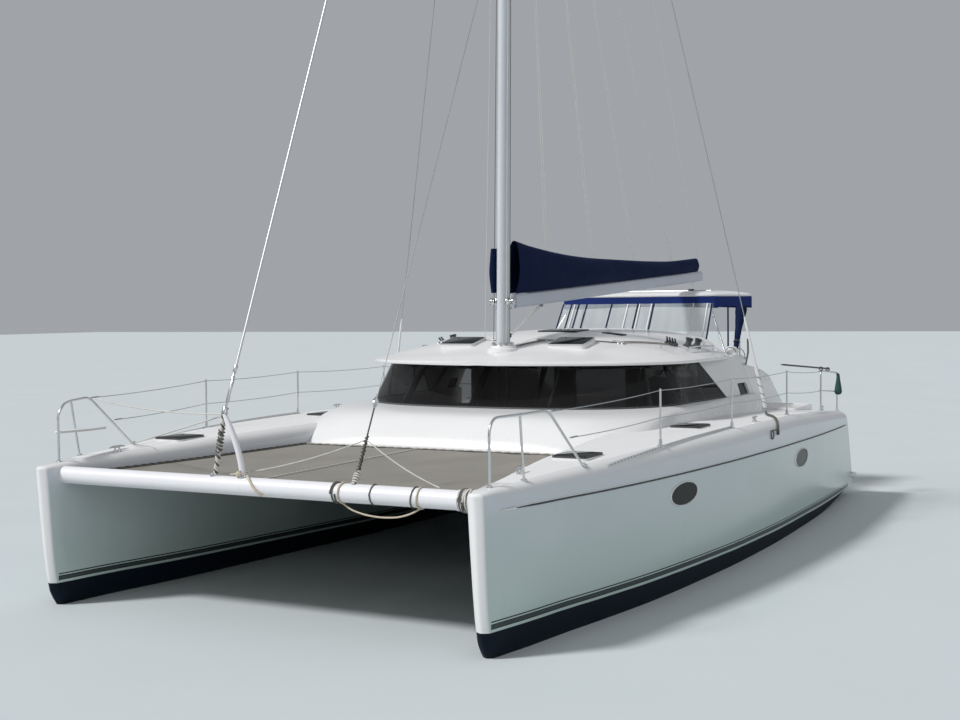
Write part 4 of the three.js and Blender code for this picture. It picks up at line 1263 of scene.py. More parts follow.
# Cabin side panels
# A white moulded panel closes each side from the glass's slanted edge to the cockpit, with a small
# dark side light let into it and a black seal between it and the glass.
panel_low = ((-1.88, 2.505), (-3.0, 2.62))
panel_high = ((-1.05, 2.253), (-3.0, 2.33))
panel_wall = 0.06
side_light = {"aft": -2.82, "front": -2.45, "low": 1.905, "top": 2.075}


def panel_at(share, rise, inward=0.0):
    low = [a + (b - a) * share for a, b in zip(*panel_low)]
    high = [a + (b - a) * share for a, b in zip(*panel_high)]
    x, y = (a + (b - a) * rise for a, b in zip(low, high))
    return Vector((x, y - inward, sill_z + 0.0003 + (head_z - sill_z) * rise))


def side_panel():
    rings = []
    for i in range(25):
        share = i / 24
        top = 1.0
        while panel_at(share, top).z > roof_top(*panel_at(share, top).xy) - 0.02:
            top -= 0.004
        outer = [panel_at(share, top * k / 8) for k in range(9)]
        inner = [panel_at(share, top * k / 8, panel_wall) for k in range(9)]
        rings.append(outer + inner[::-1])
    return rounded(skin(rings), 0.008, 2, 50)


for side, sign in SIDES.items():
    light = rounded(
        block((side_light["aft"], 2.0, side_light["low"]), (side_light["front"], 2.9, side_light["top"])),
        0.03, 3,
    )
    share = (
        panel_low[0][0] - (side_light["aft"] + side_light["front"]) / 2
    ) / (panel_low[0][0] - panel_low[1][0])
    rows = [
        (side_light["aft"] - 0.01, side_light["low"] - 0.01),
        (side_light["front"] + 0.01, side_light["top"] + 0.01),
    ]
    rise_low, rise_top = ((z - sill_z) / (head_z - sill_z) for z in (rows[0][1], rows[1][1]))
    corners = [panel_at(share, rise, 0.015) for rise in (rise_low, rise_top)]
    sheet = prism(
        [
            (corners[0].y, rows[0][1]), (corners[1].y, rows[1][1]), (corners[1].y - 0.01, rows[1][1]),
            (corners[0].y - 0.01, rows[0][1]),
        ],
        "x", rows[0][0], rows[1][0],
    )
    seal_path = [panel_at(0, k / 12) + Vector((0.010, 0.0, 0.0)) for k in range(11)]
    seal = tube(seal_path, 0.014, 8)
    shape, light, sheet, seal = on_side(sign, side_panel(), light, sheet, seal)
    settle(shape, f"cabin_side_panel_{side}", gelcoat, replaced=[f"cabin_side_{side}"], cutters=[light])
    settle(sheet, f"side_light_{side}", smoked)
    settle(seal, f"window_seal_{side}", rubber)

# Mast and spreaders
# A white painted alloy mast with an oval section and a sail track up its after side, two swept
# spreaders, tangs for the stays and shrouds, and the lug that carries the boom.
mast_long, mast_wide, mast_head = 0.250, 0.165, 16.37
hounds_up, spreader_up, spreader_half = 14.82, 6.27, 1.15
boom_pivot = Vector((0.215, 0, 3.35))
striker_top = Vector((6.275, -0.30, 2.19))
chain_top = Vector((-1.75, 3.13, 1.745))
stay_tang, shroud_tang, eye_height = 0.26, 0.62, 0.07


def mast_at(up):
    return mast_foot + mast_up * up


def pin_at(up):
    """A point on the boom's pin, which stands parallel to the mast."""
    return boom_pivot + mast_up * up


hounds = mast_at(hounds_up) + Vector((mast_long * 0.3, 0, 0))
shroud_head = mast_at(hounds_up - 0.15)


def on_forestay(up):
    return striker_top.lerp(hounds, up / (hounds - striker_top).length)


def on_shroud(up, sign=1):
    at = chain_top.lerp(shroud_head, up / (shroud_head - chain_top).length)
    return Vector((at.x, sign * at.y, at.z))


stay_end = (hounds - striker_top).length - stay_tang
shroud_end = (shroud_head - chain_top).length - shroud_tang


def mast_paint_finish():
    made, point = start_finish("mast_paint")
    z = point.axes()[2]
    patch = point.noise(1.2, 4)
    runs = point.stretched(12, 12, 0.25).noise(2.0, 3).ease(0.58, 0.8)
    base = patch.paint((0.57, 0.60, 0.64), (0.65, 0.675, 0.71))
    grime = runs * 0.18 + (1 - z.ease(2.75, 3.05)) * 0.12
    return close_finish(
        made,
        base_color=grime.paint(base, (0.42, 0.42, 0.38)),
        roughness=0.26 + patch * 0.14,
        coat_weight=0.15,
        normal=point.noise(60, 3).bump(0.0003, 0.2),
    )


mast_paint = mast_paint_finish()


def mast_tube(sides=48):
    rings = []
    ups = [0.0003] + [0.4 + (mast_head - 0.4) * i / 60 for i in range(61)]
    for up in ups:
        slim = 1 - 0.12 * max(0, (up - hounds_up) / (mast_head - hounds_up))
        ring = []
        for k in range(sides):
            turn = k / sides * 2 * math.pi
            aft = abs(turn - math.pi) < 0.16
            reach = 0.93 if aft else 1.0
            ring.append(mast_at(up) + Vector((
                math.cos(turn) * mast_long / 2 * slim * reach, math.sin(turn) * mast_wide / 2 * slim, 0,
            )))
        rings.append(ring)
    return skin(rings)


def spreader(sign):
    root = mast_at(spreader_up)
    tip = Vector((root.x - 0.34, sign * spreader_half, root.z + 0.06))
    shares = [i / 12 for i in range(13)]
    path = [root.lerp(tip, s) for s in shares]
    return tube(path, [0.062 - 0.034 * s for s in shares], sides=20, flat=0.36)


def mast_lugs():
    """The boom's lug and pad, the head crane and the tangs."""
    lug_low, pad_top = pin_at(-0.112), pin_at(-0.0723)
    parts = [
        tube([lug_low + Vector((0.12, 0, 0)), lug_low], 0.030, 20),
        tube([pin_at(-0.142), pad_top], 0.034, 28),
        tube(
            [mast_at(mast_head - 0.06), mast_at(mast_head - 0.06) + Vector((-0.33, 0, 0.01))], 0.028, 16,
            1.0,
        ),
        tube([on_forestay(stay_end), hounds], 0.020, 16),
    ]
    for sign in SIDES.values():
        parts.append(tube([on_shroud(shroud_end, sign), shroud_head], 0.016, 16))
    return joined([rounded(part, 0.003, 2, 60) for part in parts])


settle(mast_tube(), "mast_section", mast_paint, ["mast"])
settle(joined([spreader(sign) for sign in SIDES.values()]), "spreaders", mast_paint)
settle(mast_lugs(), "mast_lugs", stainless)

# Mast fittings
# Two winches and the base plate with its turning blocks, all low on the mast, and a steaming light above
# the spreaders.
def winch(place, size=1.0):
    """A two-speed winch: flared base, ribbed drum and self-tailing jaws."""
    drum = [
        (0.001, -0.004), (0.075, -0.004), (0.075, 0.008), (0.062, 0.020), (0.050, 0.034), (0.044, 0.055),
        (0.044, 0.080),
        (0.054, 0.098), (0.060, 0.104), (0.060, 0.110), (0.048, 0.114), (0.048, 0.120), (0.060, 0.124),
        (0.058, 0.134),
        (0.030, 0.138), (0.020, 0.132), (0.001, 0.132),
    ]
    return turned([(r * size, h * size) for r, h in drum], place, 36)


mast_winches = joined([
    winch(
        frame_at(mast_at(0.62) + Vector((0.02, sign * 0.078, 0)), Vector((0, sign, 0))), 0.8,
    ) for sign in SIDES.values()
])
settle(mast_winches, "mast_winches", stainless)
base_plate = turned(
    [(0.05, 0.0003), (0.150, 0.0003), (0.146, 0.012), (0.095, 0.016), (0.05, 0.016)],
    frame_at(mast_foot, mast_up), 40, (1, 0.8),
)
turning_blocks = []
for k in range(8):
    turn = k / 8 * 2 * math.pi + 0.3
    at = mast_foot + Vector((0.165 * math.cos(turn), 0.13 * math.sin(turn), -0.006))
    out = Vector((math.cos(turn), math.sin(turn), 0))
    turning_blocks.append(disc(0.026, 0.011, frame_at(at + UPWARD * 0.030, out.cross(UPWARD))))
settle(joined([base_plate] + turning_blocks), "mast_base", stainless)
light_at = mast_at(spreader_up + 0.55) + Vector((mast_long / 2, 0, 0))
lamp_body = turned(
    [(0.001, -0.04), (0.034, -0.04), (0.040, -0.01), (0.040, 0.03), (0.030, 0.05), (0.001, 0.052)],
    frame_at(light_at, mast_up), 24,
)
settle(lamp_body, "steaming_light", white_plastic)

# Standing rigging
# The forestay's alloy foil stands on the striker, and each wire shroud on a chainplate through the
# deck, with a white plastic sleeve over its screw.
def wire_finish():
    made, point = start_finish("stay_wire")
    x, y, z = point.axes()
    lay = (z * 210 + x * 90 + y * 60).sine() * 0.5 + 0.5
    patch = point.noise(4, 3)
    return close_finish(
        made,
        base_color=patch.paint((0.36, 0.37, 0.38), (0.55, 0.56, 0.57)),
        metallic=0.9,
        roughness=0.28 + patch * 0.15,
        normal=lay.bump(0.0006, 0.4),
    )


stay_wire = wire_finish()
foil = tube([on_forestay(eye_height + 0.42), on_forestay(stay_end - 0.0003)], 0.0125, 14)
stay_screw = joined([
    tube([on_forestay(eye_height + 0.0003), on_forestay(eye_height + 0.40)], 0.010, 16),
    tube([on_forestay(eye_height + 0.06), on_forestay(eye_height + 0.34)], 0.018, 20),
    tube([on_forestay(eye_height + 0.38), on_forestay(eye_height + 0.46)], 0.020, 20),
])
settle(foil, "forestay_foil", alloy, ["forestay"])
settle(rounded(stay_screw, 0.003, 2, 60), "forestay_screw", stainless)
for side, sign in SIDES.items():
    cable = tube([on_shroud(0.5, sign), on_shroud(shroud_end - 0.0003, sign)], 0.0065, 12)
    sleeve = tube(
        [on_shroud(up, sign) for up in (0.03, 0.045, 0.08, 0.60, 0.72, 1.30, 1.38)],
        [0.020, 0.027, 0.028, 0.027, 0.019, 0.017, 0.008], 20,
    )
    plate_low = Vector((chain_top.x, sign * chain_top.y, deck_z(chain_top.x) - 0.01))
    plate = block(
        (plate_low.x - 0.028, plate_low.y - 0.006, plate_low.z),
        (plate_low.x + 0.028, plate_low.y + 0.006, chain_top.z + 0.03),
    )
    toggle = tube([on_shroud(-0.03, sign), on_shroud(0.12, sign)], 0.012, 16)
    pin = tube(
        [on_shroud(0.0, sign) + Vector((0, -0.022, 0)), on_shroud(0.0, sign) + Vector((0, 0.022, 0))],
        0.008, 14,
    )
    settle(cable, f"shroud_wire_{side}", stay_wire, [f"shroud_{side}"])
    settle(sleeve, f"shroud_sleeve_{side}", white_plastic)
    settle(joined([rounded(plate, 0.004, 2), toggle, pin]), f"chainplate_{side}", stainless)

# Boom
# A light grey alloy boom on a toggle, with a rounded section, a reef-line end casting and a bail for
# the mainsheet. It is built pointing aft along -X and then turned and lifted into place.
boom_yaw, boom_lift = math.radians(8.6), math.radians(4.1)
boom_length, boom_start = 5.96, 0.075
boom_deep, boom_shallow = 0.115, 0.080
boom_place = Matrix.Translation(boom_pivot) @ Matrix.Rotation(
    -boom_yaw, 4, "Z",
) @ Matrix.Rotation(boom_lift, 4, "Y")


def boom_at(back, side=0.0, up=0.0):
    """A point given by its distance back along the boom, to port, and up from its middle."""
    return boom_place @ Vector((-back, side, up))


def boom_ring(back):
    """The section there: a soft keel that grows shallower going aft, and a sail groove along the top."""
    low = boom_deep + (boom_shallow - boom_deep) * (back - boom_start) / (boom_length - boom_start)
    half = [
        (0.007, 0.082), (0.010, 0.095), (0.026, 0.094), (0.042, 0.088), (0.058, 0.070), (0.065, 0.050),
        (0.065, 0.0),
        (0.065, 0.035 - low), (0.061, 0.018 - low), (0.050, 0.005 - low), (0.034, -low),
    ]
    return [boom_at(back, y, z) for y, z in half + [(-y, z) for y, z in reversed(half)]]


def boom_alloy_finish():
    made, point = start_finish("boom_alloy")
    patch = point.noise(2, 4)
    return close_finish(
        made,
        base_color=patch.paint((0.45, 0.48, 0.54), (0.55, 0.58, 0.64)),
        metallic=0.1,
        roughness=0.34 + patch * 0.14,
        normal=point.stretched(2, 30, 30).noise(12, 3).bump(0.0004, 0.2),
    )


boom_alloy = boom_alloy_finish()
backs = spaced(boom_start, boom_length - 0.02, 24)
settle(
    skin([boom_ring(back) for back in backs]), "boom_section", boom_alloy, ["boom"], body="boom",
)
neck = joined([
    tube([pin_at(-0.072), pin_at(0.072)], 0.034, 28),
    tube([boom_at(0.0), boom_at(0.09)], 0.030, 20),
    tube(
        [boom_at(boom_length - 0.03), boom_at(boom_length - 0.012), boom_at(boom_length)],
        [0.060, 0.062, 0.045], 24,
    ),
    tube(
        [
            boom_at(5.60, y, z)
            for y, z in ((0.05, -0.074), (0.045, -0.11), (0, -0.13), (-0.045, -0.11), (-0.05, -0.074))
        ],
        0.007, 12,
    ),
])
settle(rounded(neck, 0.004, 2, 60), "boom_fittings", stainless, body="boom")

# Sail cover
# One sheet of navy acrylic cloth over the stowed mainsail: tall at the mast, low at the outer end, and
# drawn in a little at its vertical seams.
COVER = {
    "x": (-0.06, -0.5, -1.3, -2.5, -4.0, -5.2, -5.8),
    "top": (0.840, 0.740, 0.610, 0.480, 0.365, 0.325, 0.325),
    "wide": (0.115, 0.150, 0.160, 0.150, 0.130, 0.105, 0.070),
}
cover_start, cover_end = 0.06, 5.8
cover_low = 0.0957
cover_seams = (0.62, 1.25, 1.95, 2.75, 3.55, 4.35, 5.05)


def cover_finish():
    made, point = start_finish("navy_canvas")
    weave = point.cells(900)
    fade = point.noise(1.8, 4)
    # Upward-facing cloth is painted a lighter blue in patches.
    patchy_lighter_top = facing(point).axes()[2].ease(0.1, 0.9) * point.noise(6, 4)
    base = fade.paint((0.0012, 0.006, 0.034), (0.0025, 0.011, 0.050))
    return close_finish(
        made,
        base_color=(patchy_lighter_top * 0.2).paint(base, (0.015, 0.035, 0.10)),
        roughness=0.82 - fade * 0.08,
        specular_ior_level=0.15,
        normal=(weave * 0.5 + point.noise(40, 3) * 0.5).bump(0.0008, 0.35),
    )


def cover_point(back, girth):
    """Girth runs from -1 at the starboard hem over the ridge to 1 at the port hem."""
    wide, top = fair(COVER, "wide", -back), fair(COVER, "top", -back)
    tall = top - cover_low
    rise = 1 - abs(girth)
    y = wide * (
        0.55 + 0.45 * math.sin(min(1.0, rise / 0.25) * math.pi / 2)
    ) * (1 - max(0.0, rise - 0.3) / 0.7) ** 0.72
    middle = math.sin(rise * math.pi)
    slack = 0.007 * math.sin(back * 3.1 + rise * 4) * middle
    slack += 0.0035 * math.sin(back * 11.0 - rise * 7 + 1.3) * middle
    nearest = min(abs(back - seam) for seam in cover_seams)
    slack -= 0.005 * math.exp(-(nearest / 0.02) ** 2) * middle
    sag = 0.006 * math.sin(back * 2.3) * rise
    across = math.copysign(max(0.0, y + slack), girth) if girth else 0.0
    up = tall * math.sin(rise * math.pi / 2) ** 0.92
    plumb = 0.16 * up * max(0.0, 1 - back / 1.5)
    return boom_at(back + plumb, across, cover_low + up + sag)


def cover_cloth():
    rings = [
        [cover_point(back, girth) for girth in spaced(-1, 1, 40)]
        for back in spaced(cover_start, cover_end, 160)
    ]
    return skin(rings, capped=False, closed=False)


navy_canvas = cover_finish()
cloth = cover_cloth()
cover_area = sum(face.calc_area() for face in cloth.faces)
cover_sheet = settle(
    cloth, "sail_cover_cloth", navy_canvas, ["sail_cover"], body="boom", sharp=60,
)

# Bimini
# A white moulded hardtop over the cockpit, and a skirt of royal blue cloth hung from its rim, whose
# lower edge is slightly arched.
BIMINI = {"front": -4.8, "aft": -6.09, "half_front": 1.43, "half_aft": 1.79}
hardtop_low, hardtop_top = 3.415, 3.52
skirt_low, skirt_middle = 3.215, -5.445


def bimini_plan(inset=0.0, soft=0.12, steps=6):
    """The hardtop's plan from the forward port corner round the stern, with eased corners."""
    front, aft, near, far = (BIMINI[key] for key in ("front", "aft", "half_front", "half_aft"))
    middle = (front + aft) / 2
    corners = [(front, near - 0.25), (front - 0.09, near), (aft + 0.2, far), (aft, far - 0.22)]
    corners += [(x, -y) for x, y in reversed(corners)]
    moved = [(x - inset * (x - middle) / (front - middle), y - inset * y / near) for x, y in corners]
    plan = []
    for i, corner in enumerate(moved):
        here, before, after = Vector(corner), Vector(moved[i - 1]), Vector(moved[(i + 1) % len(moved)])
        back, on = before - here, after - here
        reach = min(soft, back.length * 0.45, on.length * 0.45)
        start, end = here + back.normalized() * reach, here + on.normalized() * reach
        for k in range(steps + 1):
            t = k / steps
            plan.append(tuple(start * (1 - t) ** 2 + here * 2 * t * (1 - t) + end * t * t))
    return plan


def hardtop():
    levels = (
        (hardtop_low, 0.012), (hardtop_low + 0.012, 0.0), (3.448, 0.0), (3.460, 0.020), (3.474, 0.060),
        (3.490, 0.125),
        (3.505, 0.22), (3.514, 0.32), (hardtop_top, 0.42),
    )
    return skin([[Vector((x, y, z)) for x, y in bimini_plan(inset)] for z, inset in levels])


def skirt_cloth():
    """The skirt, hung from the hardtop's rim, with one shallow arch along each side."""
    plan = bimini_plan(0.009, soft=0.06)
    dense = []
    for i, here in enumerate(plan):
        after = plan[(i + 1) % len(plan)]
        parts = max(1, round((Vector(after) - Vector(here)).length / 0.04))
        dense += [tuple(Vector(here).lerp(Vector(after), k / parts)) for k in range(parts)]
    rings = []
    for x, y in dense:
        across = abs((x - skirt_middle) / 0.6)
        if x > BIMINI["front"] - 0.15 or x < BIMINI["aft"] + 0.2:
            across = abs(y) / BIMINI["half_front"]
        arch = 0.030 * max(0.0, 1 - min(1.0, across) ** 2.2)
        low = skirt_low + arch
        pleat = 0.003 * math.sin(y * 31 + x * 27)
        column = []
        for k in range(9):
            z = hardtop_low - 0.0004 + (low - hardtop_low) * k / 8
            out = Vector((x - skirt_middle, y, 0)).normalized() * pleat * k / 8
            column.append(Vector((x, y, z)) + out)
        rings.append(column)
    return skin(rings + [rings[0]], capped=False, closed=False)


def blue_canvas_finish():
    made, point = start_finish("blue_canvas")
    z = point.axes()[2]
    weave = point.cells(900)
    fade = point.noise(2.5, 4)
    hem = z.between(skirt_low - 0.02, skirt_low + 0.02)
    base = fade.paint((0.004, 0.016, 0.105), (0.009, 0.030, 0.170))
    return close_finish(
        made,
        base_color=(hem * 0.5).paint(base, (0.006, 0.015, 0.07)),
        roughness=0.74 - fade * 0.1,
        specular_ior_level=0.2,
        normal=(weave * 0.4 + point.noise(35, 3) * 0.6).bump(0.0008, 0.35),
    )


def film_finish():
    """Clear film, a little milky."""
    made, point = start_finish("clear_film")
    haze = point.noise(3, 4)
    return close_finish(
        made,
        base_color=haze.paint((0.50, 0.56, 0.57), (0.70, 0.75, 0.75)),
        roughness=0.10 + haze * 0.15,
        alpha=0.20 + haze * 0.14,
        normal=point.noise(2.2, 2).bump(0.01, 0.3),
    )


blue_canvas = blue_canvas_finish()
clear_film = film_finish()
settle(hardtop(), "bimini_hardtop", gelcoat, replaced=["bimini_top"])
skirt = skirt_cloth()
skirt_area = sum(face.calc_area() for face in skirt.faces)
skirt_sheet = settle(skirt, "bimini_skirt_cloth", blue_canvas, ["bimini_skirt"], sharp=50)

# Bimini screen and posts
# The clear film screen hangs from the hardtop's front edge, with dark zips and white poles sewn to it.
# Stainless hoops carry the hardtop, and a navy curtain is rolled up at its port corner.
screen_low_x, screen_low_z, screen_low_half = -4.34, 2.62, 1.43
screen_high_x, screen_high_z, screen_high_half = -4.8037, 3.30, 1.40
screen_out = Vector((screen_high_z - screen_low_z, 0, screen_low_x - screen_high_x)).normalized()


def screen_at(share, rise, out=0.0):
    """share is from -1 at starboard to 1 at port; rise from the free lower edge to the hardtop."""
    low = Vector((screen_low_x, share * screen_low_half, screen_low_z))
    high = Vector((screen_high_x, share * screen_high_half, screen_high_z))
    return low.lerp(high, rise) + screen_out * out


def screen_film():
    rings = []
    for i in range(61):
        share = -1 + 2 * i / 60
        rises = [k / 10 for k in range(11)]
        sag = [0.012 * math.sin(share * 7 * math.pi) ** 2 * math.sin(rise * math.pi) for rise in rises]
        outer = [screen_at(share, rise, -s) for rise, s in zip(rises, sag)]
        inner = [screen_at(share, rise, -s - 0.002) for rise, s in zip(rises, sag)]
        rings.append(outer + inner[::-1])
    return skin(rings)


def post_line(share, width, out, top=1.0):
    return tube([screen_at(share, top * k / 6, out) for k in range(7)], width, 10, 0.45, up=screen_out)


settle(screen_film(), "bimini_screen_film", clear_film, ["bimini_screen"])
zips = [post_line(share, 0.014, 0.004) for share in (-0.985, -0.87, -0.77, -0.66, -0.32, 0.03, 0.24, 0.985)]
zips.append(tube([screen_at(share, 0.02, 0.004) for share in spaced(-1, 1, 40)], 0.014, 8, 0.5))
settle(joined(zips), "screen_zips", navy_canvas)
poles = [post_line(share, 0.011, 0.014, 0.985) for share in (-0.82, -0.10, 0.06, 0.215, 0.755, 0.93)]
settle(joined(poles), "screen_poles", white_plastic)

BIMINI_LEGS = {
    "front": ((-4.300, 1.960, 1.850), (-4.900, 1.340, 3.170), (-4.925, 1.340, 3.398)),
    "aft": ((-5.670, 1.620, 1.600), (-5.990, 1.500, 3.170), (-6.010, 1.500, 3.398)),
}


def bimini_hoops():
    parts = []
    for foot, knee, shoulder in BIMINI_LEGS.values():
        port = [Vector(foot), Vector(knee), Vector(shoulder)]
        starboard = [Vector((x, -y, z)) for x, y, z in reversed(port)]
        parts.append(tube(bent(port + starboard, 0.10), 0.016, 14))
        for point in (port[0], starboard[-1]):
            parts.append(
                turned(
                    [(0.001, -0.02), (0.040, -0.02), (0.038, 0.012), (0.020, 0.020), (0.001, 0.020)],
                    Matrix.Translation(point), 20,
                )
            )
    for sign in SIDES.values():
        front, aft = (Vector(BIMINI_LEGS[key][2]) for key in ("front", "aft"))
        parts.append(tube([Vector((p.x, p.y * sign, p.z)) for p in (front, aft)], 0.015, 12))
    return joined(parts)


settle(bimini_hoops(), "bimini_hoops", stainless, ["bimini_frame"])
curtain_low, curtain_top = Vector((-4.66, 1.81, 2.38)), Vector((-5.20, 1.77, 3.20))
curtain_path = [curtain_low.lerp(curtain_top, k / 12) for k in range(13)]
roll = tube(
    curtain_path,
    [0.020, 0.034, 0.038, 0.044, 0.042, 0.050, 0.056, 0.056, 0.066, 0.076, 0.082, 0.096, 0.100], 16,
)
strap = tube([Vector((-4.66, 1.70, 2.44)), Vector((-5.12, 1.56, 3.24))], 0.014, 8, 0.5)
ties = joined(
    [
        turned(
            [(0.048, -0.008), (0.056, -0.008), (0.056, 0.008), (0.048, 0.008)],
            frame_at(curtain_low.lerp(curtain_top, t), curtain_top - curtain_low), 16,
        )
        for t in (0.32, 0.64)
    ]
)
settle(joined([roll, strap]), "rolled_curtain", navy_canvas)
settle(ties, "curtain_ties", rubber)

# Cross beam
# A white painted tube between the bows with a collar at its port end, saddles under the striker, and
# old rope lashings left round it.
beam_x, beam_z, beam_r, beam_end = 6.215, 1.45, 0.095, 2.64


def rope_finish(name, light, dark):
    made, point = start_finish(name)
    x, y, z = point.axes()
    strands = ((x + y + z) * 420).sine() * 0.5 + 0.5
    grime = point.noise(14, 4)
    return close_finish(
        made,
        base_color=grime.paint(light, dark),
        roughness=0.9,
        normal=(strands * 0.7 + point.noise(160, 2) * 0.3).bump(0.0012, 0.6),
    )


cream_rope = rope_finish("cream_rope", (0.62, 0.56, 0.44), (0.40, 0.33, 0.24))
white_rope = rope_finish("white_rope", (0.72, 0.71, 0.67), (0.46, 0.44, 0.40))
dark_rope = rope_finish("dark_rope", (0.06, 0.06, 0.055), (0.14, 0.13, 0.11))
tan_rope = rope_finish("tan_rope", (0.42, 0.35, 0.26), (0.62, 0.56, 0.46))


def wound(y, turns, spread, thick, seed=0.0):
    """A rope wound a few turns round the beam."""
    path = []
    steps = max(12, round(turns * 20))
    for i in range(steps + 1):
        turn = i / 20 * 2 * math.pi + seed
        reach = beam_r + thick * 0.9
        along = y + spread * (i / steps - 0.5) + 0.006 * math.sin(turn * 1.7 + seed)
        path.append(Vector((beam_x + reach * math.cos(turn), along, beam_z + reach * math.sin(turn))))
    return tube(path, thick, 8)


def beam_finish():
    made, point = start_finish("beam_white")
    patch = point.noise(2.2, 4)
    scuff = point.stretched(1, 9, 1).noise(6, 4).ease(0.62, 0.8)
    return close_finish(
        made,
        base_color=(scuff * 0.35).paint(
            patch.paint((0.74, 0.735, 0.76), (0.82, 0.81, 0.83)), (0.46, 0.46, 0.48),
        ),
        roughness=0.30 + patch * 0.12,
        coat_weight=0.2,
        normal=point.noise(70, 3).bump(0.0003, 0.2),
    )


beam_paint = beam_finish()
beam_tube = turned(
    [(0.06, -beam_end), (beam_r, -beam_end), (beam_r, beam_end), (0.06, beam_end)],
    frame_at(Vector((beam_x, 0, beam_z)), TO_PORT), 56,
)
collar_place = frame_at(Vector((beam_x, 2.40, beam_z)), TO_PORT)
beam_collar = turned([(0.094, -0.012), (0.101, -0.012), (0.101, 0.012), (0.094, 0.012)], collar_place, 56)
settle(beam_tube, "cross_beam_tube", beam_paint, ["crossbeam"])
settle(beam_collar, "cross_beam_collar", beam_paint)
settle(joined([
    wound(1.03, 2, 0.05, 0.008), wound(1.46, 1, 0.01, 0.007), wound(1.91, 1, 0.02, 0.007, 2.0),
    wound(2.455, 3, 0.045, 0.012), wound(2.53, 4, 0.10, 0.010, 1.9),
]), "beam_lashings_dark", dark_rope)
settle(
    joined([wound(2.49, 4, 0.09, 0.011, 2.6), wound(2.56, 3, 0.07, 0.010, 0.8)]), "beam_lashings_white",
    white_rope,
)

# Striker
# An A frame carries the forestay's eye above the beam: a bowed white tube to port and twisted ropes to
# starboard. Both stand in stainless saddles and are lashed with rope.
striker_y, striker_spread = -0.30, 0.19
feet = [Vector((beam_x, striker_y + dy, beam_z + 0.02)) for dy in (-striker_spread, striker_spread)]
shares = [i / 14 for i in range(15)]
bowed = [feet[1].lerp(striker_top, s) + Vector((0.01, 0.055, 0)) * math.sin(s * math.pi) for s in shares]
port_leg = tube(bowed, [0.032] * 12 + [0.030, 0.027, 0.022], 20)
legs = []
for foot in feet:
    legs.append(
        turned(
            [
                (0.001, 0.040), (0.048, 0.040), (0.048, beam_r + 0.020), (0.036, beam_r + 0.026),
                (0.001, beam_r + 0.026),
            ],
            Matrix.Translation((foot.x, foot.y, beam_z)), 24,
        )
    )
legs.append(tube([striker_top, on_forestay(eye_height)], [0.034, 0.032], 20))
settle(
    joined([rounded(leg, 0.002, 2, 60) for leg in legs]), "striker_saddles", stainless,
    ["striker"],
)
settle(port_leg, "striker_port_leg", beam_paint)


def lashing(low, high, reach, turns, thick, seed=0.0):
    """Rope wound up round a leg, loosely crossed."""
    axis = (high - low).normalized()
    side = axis.cross(AHEAD).normalized()
    front = side.cross(axis)
    path = []
    steps = round(turns * 14)
    for i in range(steps + 1):
        turn = i / 14 * 2 * math.pi + seed
        wander = reach + thick * (0.9 + 0.3 * math.sin(turn * 0.37 + seed))
        path.append(
            low.lerp(high, i / steps) + side * math.cos(turn) * wander + front * math.sin(turn) * wander
        )
    return tube(path, thick, 8)


leg_up = [foot.lerp(striker_top, 0.19) for foot in feet]
leg_low = [foot.lerp(striker_top, 0.135) for foot in feet]
strands = [lashing(feet[0], striker_top, 0.006, 9, 0.011, seed) for seed in (0.0, 2.1, 4.2)]
settle(joined(strands[:2]), "striker_starboard_leg_light", white_rope)
settle(strands[2], "striker_starboard_leg_dark", dark_rope)
knot = [
    lashing(leg_low[1], leg_up[1], 0.034, 5, 0.009), lashing(leg_up[1], leg_low[1], 0.042, 3, 0.008, 2.0),
]
strap = [
    Vector(
        (beam_x + reach * math.sin(turn), feet[1].y + 0.04 + 0.11 * turn, beam_z + reach * math.cos(turn))
    )
    for reach, turn in ((beam_r + 0.014, k / 10 * 2.3) for k in range(11))
]
knot.append(tube(strap, 0.013, 10))
settle(joined(knot), "striker_lashing_tan", tan_rope)
dark_wraps = lashing(feet[0].lerp(striker_top, 0.45), feet[0].lerp(striker_top, 0.80), 0.022, 7, 0.008, 0.7)
settle(dark_wraps, "striker_lashing_dark", dark_rope)

# Trampolines
# Two panels of taupe mesh laced to the hulls, the trunk's lip and the beam, with a rope seam between
# them that runs aft from the striker.
net_z = 1.445
net_front, net_aft = 6.10, 2.315


def net_finish():
    """Open mesh: small square holes, painted dark for the shade seen through them, between taupe threads,
    and a painted sunlit tan patch toward the port aft corner.
    """
    made, point = start_finish("net_mesh")
    x, y, _ = point.axes()
    pitch = 2 * math.pi / 0.016
    hole = (x * pitch).sine().ease(0.35, 0.75) * (y * pitch).sine().ease(0.35, 0.75)
    worn = point.noise(1.6, 4)
    base = worn.paint((0.225, 0.210, 0.185), (0.310, 0.290, 0.255))
    # Painted light: a sunlit tan patch toward the port aft corner.
    painted_sunlit_patch = (x.ease(4.2, 2.6) * y.ease(1.2, 2.1)) * 0.55
    base = painted_sunlit_patch.paint(base, (0.46, 0.40, 0.33))
    # Painted shade: the holes are painted dark green-grey for the shade seen through the mesh.
    return close_finish(
        made,
        base_color=(hole * 0.75).paint(base, (0.09, 0.10, 0.09)),
        roughness=0.92,
        normal=(1 - hole).bump(0.003, 0.5),
    )


net_mesh = net_finish()


def net_edge(x, sign):
    """How far out the net reaches before it meets the hull's inner side."""
    inner = fair(STATIONS, "inner", x)
    outer = fair(STATIONS, "outer", x)
    half = (outer - inner) / 2
    return sign * ((outer + inner) / 2 - half - min(0.03, half * 0.2) - 0.004)


def net_panel(sign):
    seam = striker_y + 0.003 * sign
    rings = []
    for i in range(49):
        x = net_aft + (net_front - net_aft) * i / 48
        edge = net_edge(x, sign)
        rings.append([])
        for k in range(33):
            across = k / 32
            sag = 0.030 * math.sin(across * math.pi) * math.sin(i / 48 * math.pi)
            sag += 0.004 * math.sin(across * 23 + i * 0.4) * math.sin(across * math.pi)
            rings[-1].append(Vector((x, seam + (edge - seam) * across, net_z - 0.004 - sag)))
    return skin(rings, capped=False, closed=False)


